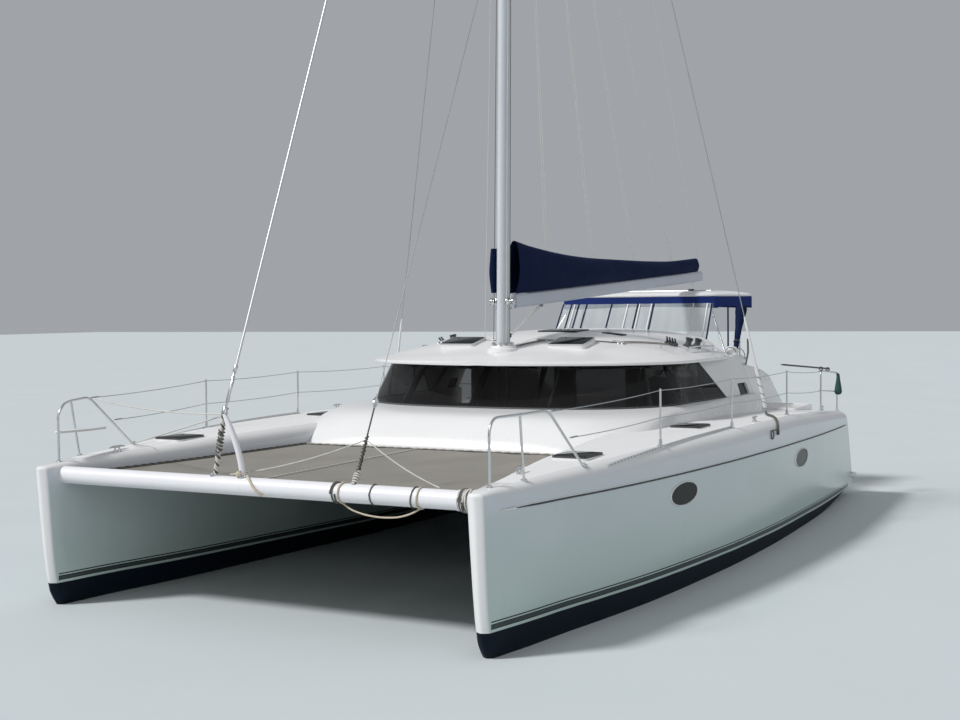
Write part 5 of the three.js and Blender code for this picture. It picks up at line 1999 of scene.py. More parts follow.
def stitches(points, inward, pitch, thick, reach):
    """A zigzag of rope through the net's edge along a line of points."""
    lengths = [0.0]
    for before, after in zip(points, points[1:]):
        lengths.append(lengths[-1] + (after - before).length)
    count = max(2, round(lengths[-1] / pitch))
    path = []
    for i in range(count * 2 + 1):
        along = lengths[-1] * i / (count * 2)
        k = next(n for n in range(1, len(lengths)) if along <= lengths[n] + 1e-9)
        share = (along - lengths[k - 1]) / (lengths[k] - lengths[k - 1])
        at = points[k - 1].lerp(points[k], share)
        path.append(at + inward * (reach if i % 2 else -0.012) + UPWARD * 0.006)
    return tube(path, thick, 6)


for side, sign in SIDES.items():
    panel = net_panel(sign)
    area = sum(face.calc_area() for face in panel.faces)
    cloth = settle(panel, f"trampoline_net_{side}", net_mesh, [f"trampoline_{side}"], sharp=60)
    hull_line = [Vector((x, net_edge(x, sign), net_z)) for x in spaced(net_aft, net_front, 24)]
    lip_line = [Vector((net_aft - 0.004, y, net_z)) for y in spaced(striker_y, net_edge(net_aft, sign), 8)]
    beam_line = [
        Vector((net_front + 0.010, y, net_z)) for y in spaced(striker_y, net_edge(net_front, sign), 8)
    ]
    laces = [
        stitches(lip_line, AHEAD, 0.13, 0.010, 0.05),
        stitches(beam_line, -AHEAD, 0.12, 0.009, 0.045),
    ]
    side_laces = stitches(hull_line, TO_PORT * -sign, 0.12, 0.010, 0.05)
    settle(joined(laces), f"net_lacing_{side}", white_rope)
    settle(side_laces, f"net_side_lacing_{side}", cream_rope if sign > 0 else dark_rope)
    inside = ((hull_line, TO_PORT * -sign * 0.055), (lip_line, AHEAD * 0.055), (beam_line, AHEAD * -0.05))
    border = [tube([p + shift for p in edge], 0.007, 8) for edge, shift in inside]
    settle(joined(border), f"net_border_{side}", dark_rope)
seam_line = [Vector((x, striker_y, net_z)) for x in spaced(net_aft, net_front, 16)]
seam_rope = stitches(seam_line, TO_PORT, 0.10, 0.007, 0.02)
settle(seam_rope, "net_seam_rope", white_rope)

# Pulpits
# A bent stainless rail on each bow on three legs with welded feet; the starboard one also carries a
# small moulded seat between its front and middle legs.
rail_top = 0.64
RAIL_FEET = {"front": (6.18, 2.69), "middle": (5.72, 2.825), "back": (4.64, 2.99)}


def deck_spot(x, y, up=0.0):
    return Vector((x, y, deck_z(x) + up))


def rail_foot(at):
    """A round welded foot with its bolt plate, for a leg that meets the deck."""
    place = frame_at(at, UPWARD)
    return turned(
        [
            (0.001, -0.012), (0.036, -0.012), (0.036, 0.004), (0.032, 0.006), (0.020, 0.008),
            (0.017, 0.022), (0.001, 0.022),
        ],
        place, 24,
    )


def pulpit_parts():
    front, middle, back = RAIL_FEET.values()
    shoulder, top_back = deck_spot(5.83, 2.84, rail_top), deck_spot(5.43, 2.95, rail_top)
    rise = [
        deck_spot(*front, -0.03), deck_spot(*front, rail_top - 0.11),
        deck_spot(*front, rail_top) + Vector((-0.09, 0, 0)),
    ]
    return [
        tube(bent([*rise, shoulder, top_back, deck_spot(*back, -0.03)], 0.11), 0.0135, 14),
        tube([deck_spot(*middle, -0.03), shoulder], 0.0125, 14),
        *(rail_foot(deck_spot(*foot)) for foot in RAIL_FEET.values()),
    ]


def bow_seat():
    """The starboard pulpit's seat, drawn to port and then mirrored. It rises a little going forward."""
    seat = [
        (6.17, 2.665), (6.21, 2.70), (6.13, 2.80), (5.72, 2.87), (5.26, 2.90), (5.24, 2.86), (5.60, 2.74),
    ]
    base = deck_z(5.8) + 0.265
    board = rounded(prism(seat, "z", base, base + 0.028), 0.010, 3)
    for vert in board.verts:
        vert.co.z += (vert.co.x - seat[4][0]) * 0.035
    return board


for side, sign in SIDES.items():
    [shape] = on_side(sign, joined(pulpit_parts()))
    settle(shape, f"pulpit_rail_{side}", stainless, [f"pulpit_{side}"])
settle(mirrored(bow_seat()), "bow_seat_board", white_plastic)

# Lifelines
# Turned stanchions in bolted sockets with two sagging wires, and a pushpit hoop at each quarter. A
# tapered green bag and a dark boathook are lashed to the port pushpit.
STANCHIONS = ((2.97, 3.215), (0.66, 3.35), (-1.90, 3.40))
quarter, corner = (-4.15, 3.37), (-5.60, 3.31)


def sagged(start, end, drop, steps=10):
    return [
        start.lerp(end, i / steps) - Vector((0, 0, drop * 4 * i / steps * (1 - i / steps)))
        for i in range(steps + 1)
    ]


def stanchion(x, y):
    foot = deck_spot(x, y)
    parts = [tube([foot - Vector((0, 0, 0.02)), foot + Vector((0, 0, rail_top - 0.012))], 0.0118, 16)]
    parts.append(
        turned(
            [
                (0.001, -0.012), (0.040, -0.012), (0.040, 0.004), (0.036, 0.007), (0.022, 0.010),
                (0.018, 0.075), (0.001, 0.077),
            ],
            frame_at(foot, UPWARD), 24,
        )
    )
    cap = [
        (0.001, rail_top - 0.016), (0.0145, rail_top - 0.016), (0.0155, rail_top - 0.006),
        (0.011, rail_top + 0.004), (0.001, rail_top + 0.007),
    ]
    parts.append(turned(cap, frame_at(foot, UPWARD), 16))
    return parts


def lifeline_wires():
    wires = []
    for up, first, first_up in (
        (rail_top - 0.014, (5.40, 2.962), rail_top - 0.014), (0.32, (4.99, 2.982), 0.320),
    ):
        stops = [deck_spot(*first, first_up)] + [deck_spot(x, y, up) for x, y in (*STANCHIONS, quarter)]
        path = [stops[0]]
        for before, after in zip(stops, stops[1:]):
            path += sagged(before, after, 0.008 * (after - before).length)[1:]
        wires.append(tube(path, 0.0045, 8))
        for stop, onward in ((stops[0], stops[1]), (stops[-1], stops[-2])):
            way = (onward - stop).normalized()
            wires.append(
                tube(
                    [stop + way * 0.02, stop + way * 0.035, stop + way * 0.15, stop + way * 0.17],
                    [0.005, 0.009, 0.009, 0.005], 12,
                )
            )
    return wires


def pushpit():
    path = [
        deck_spot(*quarter, -0.03), deck_spot(*quarter, rail_top), deck_spot(*corner, rail_top),
        deck_spot(*corner, -0.03),
    ]
    middle = [deck_spot(*quarter, 0.32), deck_spot(*corner, 0.32)]
    return [
        tube(bent(path, 0.09), 0.0135, 14), tube(middle, 0.0115, 12), rail_foot(deck_spot(*quarter)),
        rail_foot(deck_spot(*corner)),
    ]


for side, sign in SIDES.items():
    posts = pushpit()
    for x, y in STANCHIONS:
        posts += stanchion(x, y)
    posts, wires = on_side(sign, joined(posts), joined(lifeline_wires()))
    settle(posts, f"stanchions_{side}", stainless, [f"lifelines_{side}"])
    settle(wires, f"lifeline_wires_{side}", stay_wire)


def bag_finish():
    made, point = start_finish("green_bag")
    weave = point.cells(700)
    fade = point.noise(9, 4)
    return close_finish(
        made,
        base_color=fade.paint((0.012, 0.050, 0.045), (0.030, 0.085, 0.075)),
        roughness=0.8,
        normal=(weave * 0.4 + fade * 0.6).bump(0.002, 0.4),
    )


bag_top = deck_spot(-5.57, 3.335, rail_top - 0.01)
bag_rings = [
    (0.012, 0.0), (0.030, -0.02), (0.052, -0.12), (0.075, -0.24), (0.088, -0.31), (0.080, -0.345),
    (0.040, -0.36), (0.008, -0.362),
]
bag = turned(
    [(r * (1 + 0.06 * math.sin(i * 2.3)), z) for i, (r, z) in enumerate(bag_rings)],
    Matrix.Translation(bag_top), 28, (0.85, 0.7),
)
settle(bag, "pushpit_bag", bag_finish())
hook_tip, hook_butt = Vector((-1.685, 3.37, 2.403)), Vector((-4.75, 3.355, deck_z(-4.5) + rail_top + 0.028))
hook_shares = [k / 20 for k in range(21)]
hook_pole = tube([hook_tip.lerp(hook_butt, s) for s in hook_shares], [0.006] + [0.013] * 20, 12)
hook_ties = [
    Vector((x, 3.357, hook_tip.lerp(hook_butt, (hook_tip.x - x) / (hook_tip.x - hook_butt.x)).z - 0.01))
    for x in (-4.20, -4.68)
]
hook_lashings = [
    tube(
        [
            at + Vector((0.004 * k, 0.028 * math.cos(k * 0.9), 0.030 * math.sin(k * 0.9)))
            for k in range(-10, 11)
        ],
        0.005, 7,
    )
    for at in hook_ties
]
settle(hook_pole, "boathook", rubber)
settle(joined(hook_lashings), "boathook_lashings", dark_rope)

# Coamings
# A moulded block each side of the cockpit whose top slopes down going aft, well rounded, with a rope
# locker lid on its inner face and a sheet winch on top.
coaming_profile = [
    (-3.005, 1.10), (-3.005, 2.33), (-3.60, 2.31), (-4.35, 2.22), (-4.90, 2.09), (-5.30, 1.83),
    (-5.75, 1.60), (-5.75, 1.10),
]
coaming_in, coaming_out = 1.92, 2.35


def coaming_shape():
    path = bent([Vector((x, 0, z)) for x, z in coaming_profile], 0.18, 5)
    return rounded(prism([(p.x, p.z) for p in path], "y", coaming_in, coaming_out), 0.045, 4, 50)


for side, sign in SIDES.items():
    locker = rounded(block((-4.20, coaming_in - 0.006, 1.22), (-3.35, coaming_in + 0.02, 1.62)), 0.005, 2)
    shape, locker = on_side(sign, coaming_shape(), locker)
    settle(shape, f"coaming_moulding_{side}", gelcoat, replaced=[f"coaming_{side}"])
    settle(locker, f"coaming_locker_{side}", white_plastic)
sheet_winches = joined(
    [
        winch(frame_at(Vector((-4.00, sign * 2.13, 2.256)), Vector((-0.12, 0, 1))), 1.15)
        for sign in SIDES.values()
    ]
)
settle(sheet_winches, "sheet_winches", stainless)

# After bench, helm seat and helm console
# White mouldings with eased edges. The bench has slatted teak on its seat, the helm seat a crowned
# squab and back pad, and the console a compass, three dials and a grab rail.
def teak_finish():
    made, point = start_finish("teak")
    x, y, _ = point.axes()
    seam = ((x + 5.2) * (2 * math.pi / 0.055)).sine() > 0.96
    grain = point.stretched(30, 1.2, 30).noise(3, 5, 0.6)
    board = point.stretched(18.2, 0.3, 1).noise(1.0, 1)
    base = grain.paint((0.24, 0.15, 0.080), (0.42, 0.30, 0.18))
    base = (board * 0.4).paint(base, (0.46, 0.38, 0.28))
    return close_finish(
        made,
        base_color=seam.paint(base, (0.012, 0.012, 0.012)),
        roughness=0.62 + grain * 0.2,
        normal=(grain * 0.4 - seam * 0.8).bump(0.0015, 0.5),
    )


teak = teak_finish()
white_vinyl = mottled_finish(
    "white_vinyl", (7, 4), (0.62, 0.61, 0.57), (0.76, 0.75, 0.71), (0.48, 0.15), (380, 0.0008, 0.35),
    woven=True,
)
bridge_floor, bench_aft, bench_half = 0.9003, -5.74, 1.80
bench_seat = rounded(block((bench_aft, -bench_half, bridge_floor), (-5.20, bench_half, 1.33)), 0.035, 4)
bench_back = rounded(block((bench_aft, -bench_half, 1.28), (-5.60, bench_half, 1.64)), 0.045, 4)
bench_boards = rounded(block((-5.58, -1.74, 1.326), (-5.235, 1.74, 1.338)), 0.003, 1)
settle(joined([bench_seat, bench_back]), "bench_moulding", gelcoat, replaced=["cockpit_bench"])
settle(bench_boards, "bench_teak", teak)

console_face, console_top = -3.19, 2.13
console = [
    (console_face, bridge_floor), (-2.96, bridge_floor), (-2.96, console_top), (-3.08, console_top),
    (console_face, 2.02),
]
console_shape = rounded(prism(console, "y", 0.90, 1.70), 0.03, 4)
wheel_hub = Vector((-3.29, 1.25, 1.98))
shaft = tube(
    [Vector((-3.18, wheel_hub.y, wheel_hub.z)), Vector((wheel_hub.x + 0.0203, wheel_hub.y, wheel_hub.z))],
    0.026, 20,
)
dials = []
for dy, height, reach in ((0.26, 1.94, 0.055), (-0.24, 1.94, 0.055), (-0.24, 1.78, 0.05)):
    place = frame_at(Vector((-3.189, wheel_hub.y + dy, height)), Vector((-1, 0, 0)), TO_PORT)
    dials.append(
        turned(
            [
                (0.001, -0.002), (reach, -0.002), (reach, 0.010), (reach * 0.86, 0.012),
                (reach * 0.84, 0.006), (0.001, 0.006),
            ],
            place, 32,
        )
    )
compass = turned(
    [(0.001, 0.075), (0.030, 0.068), (0.052, 0.046), (0.060, 0.018), (0.066, -0.002), (0.001, -0.002)],
    Matrix.Translation((-3.02, wheel_hub.y, 2.13)), 32,
)
grab = tube(
    bent(
        [
            Vector((-3.10, 0.98, 2.10)), Vector((-3.10, 0.98, 2.22)), Vector((-3.10, 1.62, 2.22)),
            Vector((-3.10, 1.62, 2.10)),
        ],
        0.05,
    ),
    0.012, 12,
)
settle(console_shape, "helm_pod", gelcoat, replaced=["helm_console"])
settle(joined([shaft, grab]), "helm_shaft_and_grab", stainless)
settle(joined(dials + [compass]), "helm_instruments", smoked)

post = rounded(block((-4.18, 1.15, bridge_floor), (-3.96, 1.35, 1.56)), 0.03, 3)
settle(post, "helm_seat_post", gelcoat, replaced=["helm_seat"])


def pad(low, high, crown, axis):
    """A crowned pad: a box with eased corners that swells in its middle along one axis."""
    shape = block(low, high)
    bmesh.ops.subdivide_edges(shape, edges=shape.edges, cuts=9, use_grid_fill=True)
    centre = [(a + b) / 2 for a, b in zip(low, high)]
    size = [(b - a) / 2 for a, b in zip(low, high)]
    i = "xyz".index(axis)
    others = [k for k in range(3) if k != i]
    for vert in shape.verts:
        u, v = ((vert.co[k] - centre[k]) / size[k] for k in others)
        w = (vert.co[i] - centre[i]) / size[i]
        swell = max(0.0, (1 - u ** 4) * (1 - v ** 4))
        vert.co[i] = centre[i] + w * size[i] * (1 - crown + crown * swell ** 0.35)
        for k, share in zip(others, (v, u)):
            vert.co[k] = centre[k] + (vert.co[k] - centre[k]) * (1 - 0.02 * share ** 2) * (
                1 - 0.035 * abs(w) ** 3
            )
    return shape


for name, low, high, crown, axis in (
    ("helm_squab", (-4.28, 0.85, 1.5603), (-3.88, 1.65, 1.68), 0.35, "z"),
    ("helm_back_pad", (-4.34, 0.85, 1.60), (-4.262, 1.65, 2.05), 0.40, "x"),
):
    cushion = settle(pad(low, high, crown, axis), name, white_vinyl, sharp=80)

# Steering wheel
# A leather-bound stainless rim on five spokes and a turned hub, on the console's shaft.
leather = mottled_finish(
    "wheel_leather", (16, 4), (0.030, 0.024, 0.020), (0.090, 0.070, 0.055), (0.55, 0.2), (420, 0.0006, 0.4),
    woven=True,
)
wheel_radius, wheel_grip = 0.33, 0.0145


def wheel_point(turn, reach, out=0.0):
    return wheel_hub + Vector((out, reach * math.sin(turn), reach * math.cos(turn)))


rim_rings = [
    [
        wheel_point(turn, wheel_radius + wheel_grip * math.cos(a), wheel_grip * math.sin(a))
        for a in round_turns(12)
    ]
    for turn in round_turns(72)
]
rim = skin(rim_rings + [rim_rings[0]], capped=False)
bmesh.ops.remove_doubles(rim, verts=rim.verts, dist=0.00001)
spokes = []
for i in range(5):
    turn = i * 2 * math.pi / 5
    bow = [
        wheel_point(turn, 0.03, 0.0), wheel_point(turn, 0.16, -0.012),
        wheel_point(turn, wheel_radius - 0.01, 0.0),
    ]
    spokes.append(tube(bent(bow, 0.1), 0.009, 12))
hub_profile = [
    (0.001, 0.030), (0.020, 0.030), (0.030, 0.024), (0.036, 0.010), (0.045, 0.006), (0.045, -0.0194),
    (0.001, -0.0194),
]
hub = turned(hub_profile, frame_at(wheel_hub, Vector((-1, 0, 0)), TO_PORT), 32)
settle(rim, "wheel_rim", leather, ["steering_wheel"], body="steering_wheel")
settle(joined(spokes + [hub]), "wheel_spokes", stainless, body="steering_wheel")

# Aft bulkhead and sliding door
# A white bulkhead with two rounded windows beside the doorway, a track above and below, and a glass
# leaf in an alloy frame that slides to starboard behind it.
bulkhead = {"aft": -2.9, "front": -2.85, "half": 2.16}
doorway = {"starboard": -0.35, "port": 0.55, "sill": 0.92, "top": 2.64}
door_lap, door_travel = 0.04, 0.94


def bulkhead_sheet():
    half = bulkhead["half"]
    middle = (bulkhead["aft"] + bulkhead["front"]) / 2
    top = [(y, roof_top(middle, y) - 0.02) for y in spaced(half, -half, 40)]
    outline = [(-half, bridge_floor), (half, bridge_floor)] + top
    return prism(outline, "x", bulkhead["aft"], bulkhead["front"])


window_rows = ((-1.75, -0.70), (0.90, 1.75))
door_hole = rounded(
    block((-3.0, doorway["starboard"], doorway["sill"]), (-2.7, doorway["port"], doorway["top"])), 0.03, 3,
)
holes = [door_hole] + [
    rounded(block((-3.0, y0, 1.55), (-2.7, y1, 2.35)), 0.06, 4) for y0, y1 in window_rows
]
settle(bulkhead_sheet(), "bulkhead_sheet", gelcoat, replaced=["aft_bulkhead"], cutters=holes)
panes = [
    rounded(block((-2.881, y0 - 0.02, 1.53), (-2.871, y1 + 0.02, 2.37)), 0.003, 1) for y0, y1 in window_rows
]
settle(joined(panes), "bulkhead_windows", window_glass)
tracks = []
for low, high in (
    (bridge_floor, doorway["sill"]),
    (doorway["top"] + door_lap + 0.0003, doorway["top"] + door_lap + 0.0203),
):
    span = (doorway["starboard"] - door_travel - door_lap - 0.01, doorway["port"] + door_lap + 0.01)
    tracks.append(rounded(block((-2.945, span[0], low), (-2.895, span[1], high)), 0.003, 1))
settle(joined(tracks), "door_tracks", alloy)
leaf_low = (-2.935, doorway["starboard"] - door_lap, doorway["sill"] + 0.0003)
leaf_high = (-2.905, doorway["port"] + door_lap, doorway["top"] + door_lap)
stile = 0.055
leaf_hole = block(
    (-3.0, leaf_low[1] + stile, leaf_low[2] + 0.09), (-2.8, leaf_high[1] - stile, leaf_high[2] - stile),
)
settle(
    rounded(block(leaf_low, leaf_high), 0.004, 2), "door_frame", alloy, ["saloon_door"],
    body="saloon_door", cutters=[rounded(leaf_hole, 0.03, 3)],
)
leaf_pane = block(
    (-2.924, leaf_low[1] + stile - 0.012, leaf_low[2] + 0.078),
    (-2.916, leaf_high[1] - stile + 0.012, leaf_high[2] - stile + 0.012),
)
settle(leaf_pane, "door_pane", window_glass, body="saloon_door")
handle = tube(
    bent(
        [
            Vector((-2.933, leaf_low[1] + 0.03, z)) + Vector((-dx, 0, 0))
            for z, dx in ((1.62, 0), (1.62, 0.03), (1.84, 0.03), (1.84, 0))
        ],
        0.02,
    ),
    0.007, 12,
)
settle(handle, "door_handle", stainless, body="saloon_door")

# Saloon settee and table
# An L-shaped settee on moulded bases with crowned grey cushions, and a varnished table on one leg.
settee_base = rounded(joined([
    block((-1.50, 0.70, bridge_floor), (0.60, 1.50, 1.22)),
    block((0.30, -0.30, bridge_floor), (0.60, 0.72, 1.22)),
]), 0.02, 2)
settee_back = rounded(block((-1.50, 1.40, 1.18), (0.60, 1.50, 1.72)), 0.02, 3)
table_top = rounded(block((-0.95, -0.35, 1.56), (-0.05, 0.48, 1.60)), 0.015, 3)
table_leg = joined([
    rounded(block((-0.50, -0.05, bridge_floor), (-0.35, 0.10, 1.562)), 0.01, 2),
    rounded(block((-0.50, -0.05, bridge_floor), (0.35, 0.10, 0.96)), 0.008, 2),
])
settle(
    joined([settee_base, settee_back, table_leg]), "settee_moulding", gelcoat, replaced=["saloon_settee"],
)
settle(table_top, "saloon_table_top", teak)


grey_cloth = mottled_finish(
    "grey_cloth", (5, 4), (0.17, 0.18, 0.20), (0.26, 0.27, 0.29), (0.88, 0.0), (650, 0.001, 0.4),
    woven=True,
)
cushions = []
for number, (x0, x1) in enumerate([(-1.495, -0.805), (-0.795, -0.105), (-0.095, 0.595)]):
    cushions.append((f"settee_cushion_{number + 1}", (x0, 0.705, 1.2203), (x1, 1.375, 1.315), 0.35, "z"))
    cushions.append((f"settee_back_{number + 1}", (x0, 1.33, 1.32), (x1, 1.399, 1.71), 0.40, "y"))
cushions.append(("settee_bow_cushion", (0.305, -0.295, 1.2203), (0.595, 0.69, 1.315), 0.35, "z"))
for name, low, high, crown, axis in cushions:
    cushion = settle(pad(low, high, crown, axis), name, grey_cloth, sharp=80)

# Rope gear on the roof
# Winches, banks of rope clutches, deck organisers and pad eyes bolted through the roof on both sides,
# with the halyards led aft to them from the mast, and a grab rail along each edge.
def clutch_bank(place, count=3):
    """Rope clutches side by side: a base with a raised lever on each."""
    bases, levers = [], []
    for i in range(count):
        y = (i - (count - 1) / 2) * 0.042
        body = [
            (-0.085, -0.004), (0.085, -0.004), (0.080, 0.024), (0.020, 0.046), (-0.050, 0.040),
            (-0.085, 0.020),
        ]
        bases.append(rounded(prism(body, "y", y - 0.017, y + 0.017), 0.004, 2))
        lever = [
            (-0.010, 0.040), (0.030, 0.044), (0.085, 0.105), (0.072, 0.112), (0.016, 0.062),
            (-0.012, 0.056),
        ]
        levers.append(rounded(prism(lever, "y", y - 0.011, y + 0.011), 0.003, 2))
    bases, levers = joined(bases), joined(levers)
    bases.transform(place)
    levers.transform(place)
    return bases, levers


def organiser(place):
    """A flat cheek plate over three sheaves."""
    parts = [rounded(block((-0.03, -0.09, 0.022), (0.03, 0.09, 0.028)), 0.002, 1)]
    for y in (-0.055, 0.0, 0.055):
        parts.append(
            turned(
                [
                    (0.001, -0.004), (0.026, -0.004), (0.026, 0.004), (0.020, 0.013), (0.026, 0.022),
                    (0.001, 0.022),
                ],
                Matrix.Translation((0, y, 0)), 20,
            )
        )
    whole = joined(parts)
    whole.transform(place)
    return whole


def roof_place(x, y, sink=0.0):
    point, out = on_roof(x, y)
    return frame_at(point - out * sink, out)


port_clutches = clutch_bank(roof_place(-1.24, 1.88), 4)
starboard_clutches = clutch_bank(roof_place(-1.24, -1.88), 2)
settle(joined([port_clutches[0], starboard_clutches[0]]), "rope_clutches", rubber)
settle(joined([port_clutches[1], starboard_clutches[1]]), "clutch_levers", rubber)
roof_winches = joined(
    [winch(roof_place(x, y), 0.95) for x, y in ((-1.63, 2.00), (-1.92, 2.04), (-1.52, -1.84))]
)
settle(roof_winches, "roof_winches", rubber)
organisers = joined(
    [organiser(roof_place(x, y)) for x, y in ((-0.34, 1.42), (-0.34, -1.42), (-0.10, 0.36), (-0.10, -0.36))]
)
settle(organisers, "deck_organisers", alloy)
eyes = []
for x, y in ((-2.25, 1.98), (-2.62, 1.93), (-2.95, 1.80), (-0.62, 1.95), (-2.25, -1.98), (-2.62, -1.93)):
    place = roof_place(x, y)
    bow = [
        place @ Vector(p)
        for p in (
            (-0.028, 0, -0.003), (-0.024, 0, 0.030), (0, 0, 0.045), (0.024, 0, 0.030), (0.028, 0, -0.003),
        )
    ]
    eyes.append(tube(bent(bow, 0.02, 3), 0.006, 10))
settle(joined(eyes), "roof_pad_eyes", stainless)


def over_roof(points, up, steps=10):
    """A path that follows the roof between the named places."""
    path = []
    for before, after in zip(points, points[1:]):
        for i in range(steps + 1):
            x, y = Vector(before).lerp(Vector(after), i / steps)
            point, out = on_roof(x, y)
            path.append(point + out * up)
    return path


led_lines, dark_lines = [], []
for sign, count in ((1, 4), (-1, 2)):
    for i in range(count):
        offset = (i - (count - 1) / 2) * 0.042
        route = [
            (0.24, sign * (0.10 + 0.012 * i)), (-0.10, sign * 0.36 + offset * 0.6),
            (-0.34, sign * 1.42 + offset), (-1.12, sign * 1.86 + offset),
        ]
        line = tube(over_roof(route, 0.010), 0.0052, 7)
        (dark_lines if i % 2 else led_lines).append(line)
settle(joined(led_lines), "halyards_led_aft_white", white_rope)
settle(joined(dark_lines), "halyards_led_aft_dark", dark_rope)
handrails = []
for sign in SIDES.values():
    path = over_roof([(-1.10, sign * 2.18), (-2.30, sign * 2.16)], 0.055, 16)
    ends = [
        over_roof([(-1.06, sign * 2.18), (-1.05, sign * 2.18)], -0.01, 1)[0],
        over_roof([(-2.34, sign * 2.16), (-2.35, sign * 2.16)], -0.01, 1)[0],
    ]
    handrails.append(tube(bent([ends[0]] + path[::4] + [path[-1], ends[1]], 0.05), 0.012, 12))
settle(joined(handrails), "roof_handrails", stainless)

# Running rigging
# Halyards up the mast, lazy jacks and a topping lift, a double vang from the mast's foot, and the
# mainsheet's block, car and track. A second wire runs from the beam to the mast, with guys beside it.
def line(start, end, thick, sag=0.0, sides=6):
    return tube(sagged(Vector(start), Vector(end), sag, 12 if sag else 2), thick, sides)


second_low, second_top = Vector((beam_x, 1.235, beam_z + beam_r)), mast_at(6.1) + Vector((0.12, 0.0, 0))
second_way = (second_top - second_low).normalized()
second = line(second_low + second_way, second_top, 0.0055)
shackle = turned(
    [(0.022, -0.008), (0.038, -0.008), (0.038, 0.008), (0.022, 0.008)],
    frame_at(second_low + second_way * 0.97, TO_PORT, second_way), 20, (1.3, 1),
)
second_eye = tube([second_low + second_way * 0.90, second_low + second_way * 1.02], 0.010, 12)
settle(second, "second_stay_wire", stay_wire)
settle(joined([shackle, second_eye]), "second_stay_shackle", stainless)
stay_ropes = [
    lashing(second_low + second_way * 0.02, second_low + second_way * 0.56, 0.008, 13, 0.008),
    line(second_low, second_low + second_way * 0.94, 0.009),
]
settle(joined(stay_ropes), "second_stay_lashing", dark_rope)
foot_knot = lashing(second_low - second_way * 0.01, second_low + second_way * 0.13, 0.020, 5, 0.010, 1.1)
seam_start, seam_end = Vector(
    (beam_x - 0.02, striker_y, beam_z + 0.11)
), Vector((beam_x - 0.05, 2.15, beam_z + 0.10))
tie_at = second_low + second_way * 0.52
white_ties = [foot_knot, line(seam_start, tie_at, 0.007, 0.05), line(tie_at, seam_end, 0.006, 0.04)]
settle(joined(white_ties), "second_stay_ties", white_rope)

guys = [
    line(striker_top + Vector((0, -0.02, -0.02)), deck_spot(4.72, -2.94, 0.0), 0.0075),
    line(striker_top + Vector((0, -0.02, 0.0)), deck_spot(5.42, -2.85, rail_top - 0.02), 0.0075, 0.05),
]
settle(joined(guys), "striker_guys", white_rope)
bow_loop = [
    Vector((beam_x + 0.02, y, beam_z - 0.10 - drop))
    for y,
    drop in (
        (1.10, 0.0), (1.20, 0.06), (1.36, 0.10), (1.55, 0.115), (1.74, 0.10), (1.88, 0.055), (1.98, 0.0),
    )
]
loop_ends = [wound(1.10, 1.5, 0.02, 0.009, 0.4), wound(1.98, 1.5, 0.02, 0.009, 2.4)]
settle(joined([tube(bent(bow_loop, 0.1, 3), 0.009, 8)] + loop_ends), "beam_rope_loop", cream_rope)

halyards, dark_halyards = [], []
for k, (dx, dy, top) in enumerate(
    (
        (0.10, 0.10, 15.9), (0.02, 0.115, 12.0), (-0.09, -0.11, 15.9), (0.06, -0.115, 14.4),
        (-0.02, -0.12, 9.0),
    )
):
    start = mast_at(0.05) + Vector((dx, dy, 0))
    end = mast_at(top) + Vector((dx * 0.4, dy * 0.72, 0))
    (dark_halyards if k % 2 else halyards).append(line(start, end, 0.005))
forward_halyard = line(
    mast_at(0.12) + Vector((0.24, -0.16, 0)), mast_at(14.6) + Vector((0.14, -0.02, 0)), 0.005,
)
settle(joined(halyards + [forward_halyard]), "halyards_white", white_rope)
settle(joined(dark_halyards), "halyards_dark", dark_rope)

jack_top = pin_at(11.5)
hanger = [
    tube([jack_top + Vector((0, 0, -0.03)), jack_top + Vector((0, 0, 0.05))], 0.018, 12),
    line(jack_top + Vector((0, 0, 0.04)), mast_at(12.6) + Vector((-0.10, 0, 0)), 0.004),
]
settle(joined(hanger), "lazy_jack_block", rubber)
jacks = []
for back in (1.0, 2.3, 3.6, 4.9):
    for sign in SIDES.values():
        ridge = boom_at(back, 0.02 * sign, fair(COVER, "top", -back) - 0.02)
        jacks.append(line(jack_top, ridge, 0.0040, 0.02))
lift_top = pin_at(15.69)
jacks.append(line(lift_top, boom_at(boom_length - 0.02, 0, 0.09), 0.0042, 0.03))
settle(joined(jacks), "lazy_jacks_and_lift", white_rope, body="boom")
loops = []
for back in (0.55, 1.3, 2.05, 2.8, 3.55, 4.3, 5.05, 5.6):
    top = fair(COVER, "top", -back) + 0.004
    bow = [
        boom_at(back + dx, 0, top + up)
        for dx, up in ((-0.012, -0.012), (-0.010, 0.014), (0.0, 0.022), (0.010, 0.014), (0.012, -0.012))
    ]
    loops.append(tube(bow, 0.0035, 8))
settle(joined(loops), "cover_loops", white_rope, body="boom")

vang_low, vang_high = pin_at(-0.50), boom_at(0.80, 0, -0.112)
vang_lines = [
    line(vang_low + Vector((0, dy, 0)), vang_high + Vector((0, dy, 0)), 0.0055) for dy in (-0.016, 0.016)
]
settle(joined(vang_lines), "vang_lines", white_rope, body="boom")
vang_blocks = [disc(0.034, 0.016, frame_at(at, TO_PORT)) for at in (vang_low + UPWARD * 0.01, vang_high)]
settle(rounded(joined(vang_blocks), 0.004, 2, 60), "vang_blocks", rubber, body="boom")
vang_eye = tube(
    [pin_at(-0.62) + Vector((0.06, 0, -0.02)), pin_at(-0.56) + Vector((0.02, 0, 0)), pin_at(-0.52)], 0.009,
    12,
)
settle(vang_eye, "vang_eye", stainless)

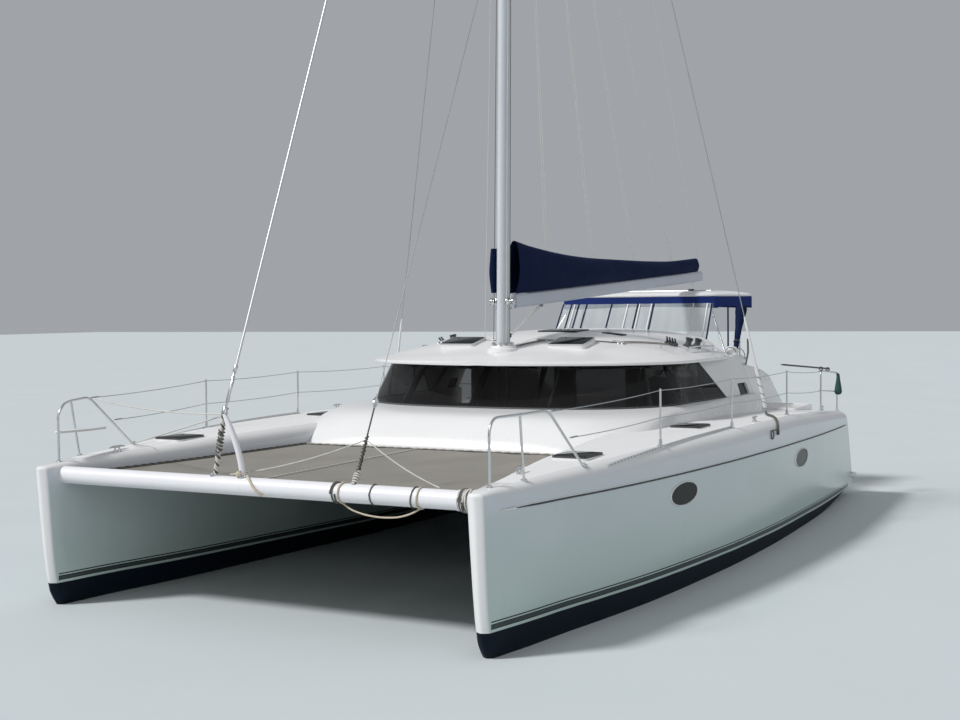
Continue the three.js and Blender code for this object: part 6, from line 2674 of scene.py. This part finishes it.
sheet_high = boom_at(5.60, 0, -0.14)
sheet_block = disc(0.038, 0.018, frame_at(sheet_high, AHEAD))
settle(rounded(sheet_block, 0.004, 2, 60), "mainsheet_block", rubber, body="boom")
sheet_track = tube([Vector((sheet_high.x, y, 3.5195)) for y in spaced(-1.2, 1.2, 8)], 0.014, 8, 0.8)
settle(sheet_track, "mainsheet_track", alloy)
car = rounded(
    block(
        (sheet_high.x - 0.035, sheet_high.y - 0.05, 3.524),
        (sheet_high.x + 0.035, sheet_high.y + 0.05, 3.552),
    ),
    0.006, 2,
)
settle(car, "mainsheet_car", rubber)

# Canvas bag on the mast, fenders, and spare rope
# A navy rope bag is laced to the starboard side of the mast, two white fenders lie lashed on top of
# the port coaming, and spare rope is made fast at each shroud's foot.
bag_low, bag_high = mast_at(0.74), mast_at(1.36)
bag_rings = []
for k in range(11):
    share = k / 10
    middle = bag_low.lerp(bag_high, share) + Vector((0.02, -0.125 - 0.02 * math.sin(share * math.pi), 0))
    reach = Vector((0.085, 0.045 * (0.75 + 0.35 * math.sin(share * math.pi * 0.8)), 0))
    turns = round_turns(20)
    bag_rings.append(
        [
            middle + Vector(
                (reach.x * math.cos(a), reach.y * math.sin(a) * (1 + 0.08 * math.sin(3 * a + k)), 0)
            )
            for a in turns
        ]
    )
settle(skin(bag_rings), "mast_rope_bag", navy_canvas)


def fender(start, end, reach):
    way = (end - start).normalized()
    length = (end - start).length
    profile = [
        (0.001, 0.0), (0.016, 0.0), (0.018, 0.035), (0.030, 0.050), (reach * 0.8, 0.085), (reach, 0.14),
    ]
    profile += [(r, length - h) for r, h in reversed(profile)]
    return turned(profile, frame_at(start, way, TO_PORT), 28)


fenders = [
    fender(Vector((-3.02, 2.20, 2.405)), Vector((-3.72, 2.22, 2.375)), 0.085),
    fender(Vector((-3.16, 2.13, 2.545)), Vector((-3.60, 2.16, 2.515)), 0.080),
]
settle(joined(fenders), "coaming_fenders", white_plastic)
fender_ties = []
for x, y, z in ((-3.12, 2.20, 2.41), (-3.58, 2.20, 2.38)):
    ring = [
        Vector(
            (x, y + 0.10 * math.cos(k / 16 * 2 * math.pi), z + 0.05 + 0.14 * math.sin(k / 16 * 2 * math.pi))
        )
        for k in range(17)
    ]
    fender_ties.append(tube(ring, 0.006, 8))
fender_ties.append(
    tube(
        [Vector((-3.70, 2.26, 2.20)), Vector((-3.86, 2.27, 2.50)), Vector((-3.88, 2.26, 2.72))],
        [0.010, 0.016, 0.016], 10,
    )
)
settle(joined(fender_ties), "fender_ties", dark_rope)
tail_rest = [deck_spot(-1.60, 3.18, 0.020), deck_spot(-1.30, 3.34, 0.016), deck_edge(-1.00, 3.47, 0.016)]
tails = []
for shift in (0.0, 0.030):
    over_side = [
        on_hull(x, z)[0] + on_hull(x, z)[1] * 0.016
        for x, z in ((-0.80, 1.62), (-0.68 - shift, 1.57), (-0.64 - shift, 1.50))
    ]
    start = Vector((chain_top.x, chain_top.y, deck_z(chain_top.x) + 0.05))
    tails.append(
        tube(bent([start] + [p + Vector((-shift, 0, 0)) for p in tail_rest] + over_side, 0.08, 4), 0.015, 8)
    )
hanging = []
for k in range(25):
    turn = k / 24 * 2 * math.pi
    point, out = on_hull(-0.42 + 0.06 * math.sin(turn), 1.515 + 0.055 * math.cos(turn))
    hanging.append(point + out * 0.010)
tie_point, tie_out = on_hull(-0.66, 1.56)
tails.append(tube([tie_point + tie_out * 0.012] + hanging, 0.008, 7))
settle(joined(tails), "chainplate_rope_tail", dark_rope)
settle(lashing(on_shroud(0.10), on_shroud(0.58), 0.026, 4, 0.004, 0.4), "shroud_sleeve_stripes", dark_rope)
starboard_coil = lashing(on_shroud(0.02, -1), on_shroud(0.30, -1), 0.026, 7, 0.011, 0.5)
settle(starboard_coil, "starboard_shroud_coil", white_rope)

# Underwater gear and engines
# The frame's own keels, drives, engines, propellers and rudders, painted: navy antifouling, grey
# engine enamel, and bronze.
def antifoul_finish():
    made, point = start_finish("antifouling")
    z = point.axes()[2]
    slime = (point.noise(3, 5, 0.65) * (z + 1.3).ease(0.0, 1.4)).ease(0.25, 0.7)
    worn = point.noise(14, 5, 0.6)
    base = worn.paint((0.006, 0.012, 0.040), (0.016, 0.024, 0.065))
    return close_finish(
        made,
        base_color=(slime * 0.5).paint(base, (0.05, 0.07, 0.045)),
        roughness=0.62 + worn * 0.25,
        normal=(worn * 0.7 + slime * 0.3).bump(0.002, 0.4),
    )


def engine_finish():
    made, point = start_finish("engine_enamel")
    grime = point.noise(9, 5, 0.6)
    return close_finish(
        made,
        base_color=grime.ease(0.45, 0.8).paint((0.22, 0.25, 0.27), (0.06, 0.06, 0.055)),
        roughness=0.34 + grime * 0.35,
        normal=grime.bump(0.001, 0.3),
    )


def bronze_finish():
    made, point = start_finish("bronze")
    patina = point.noise(22, 5, 0.65).ease(0.45, 0.75)
    return close_finish(
        made,
        base_color=patina.paint((0.62, 0.38, 0.17), (0.20, 0.24, 0.17)),
        metallic=0.9,
        roughness=0.26 + patina * 0.4,
        normal=patina.bump(0.0006, 0.3),
    )


gear_finishes = {
    "keel": antifoul_finish(), "saildrive": antifoul_finish(), "engine": engine_finish(),
    "propeller": bronze_finish(), "rudder": antifoul_finish(),
}
for kind, finish in gear_finishes.items():
    for side in SIDES:
        nodes[f"{kind}_{side}"].data.materials[0] = finish
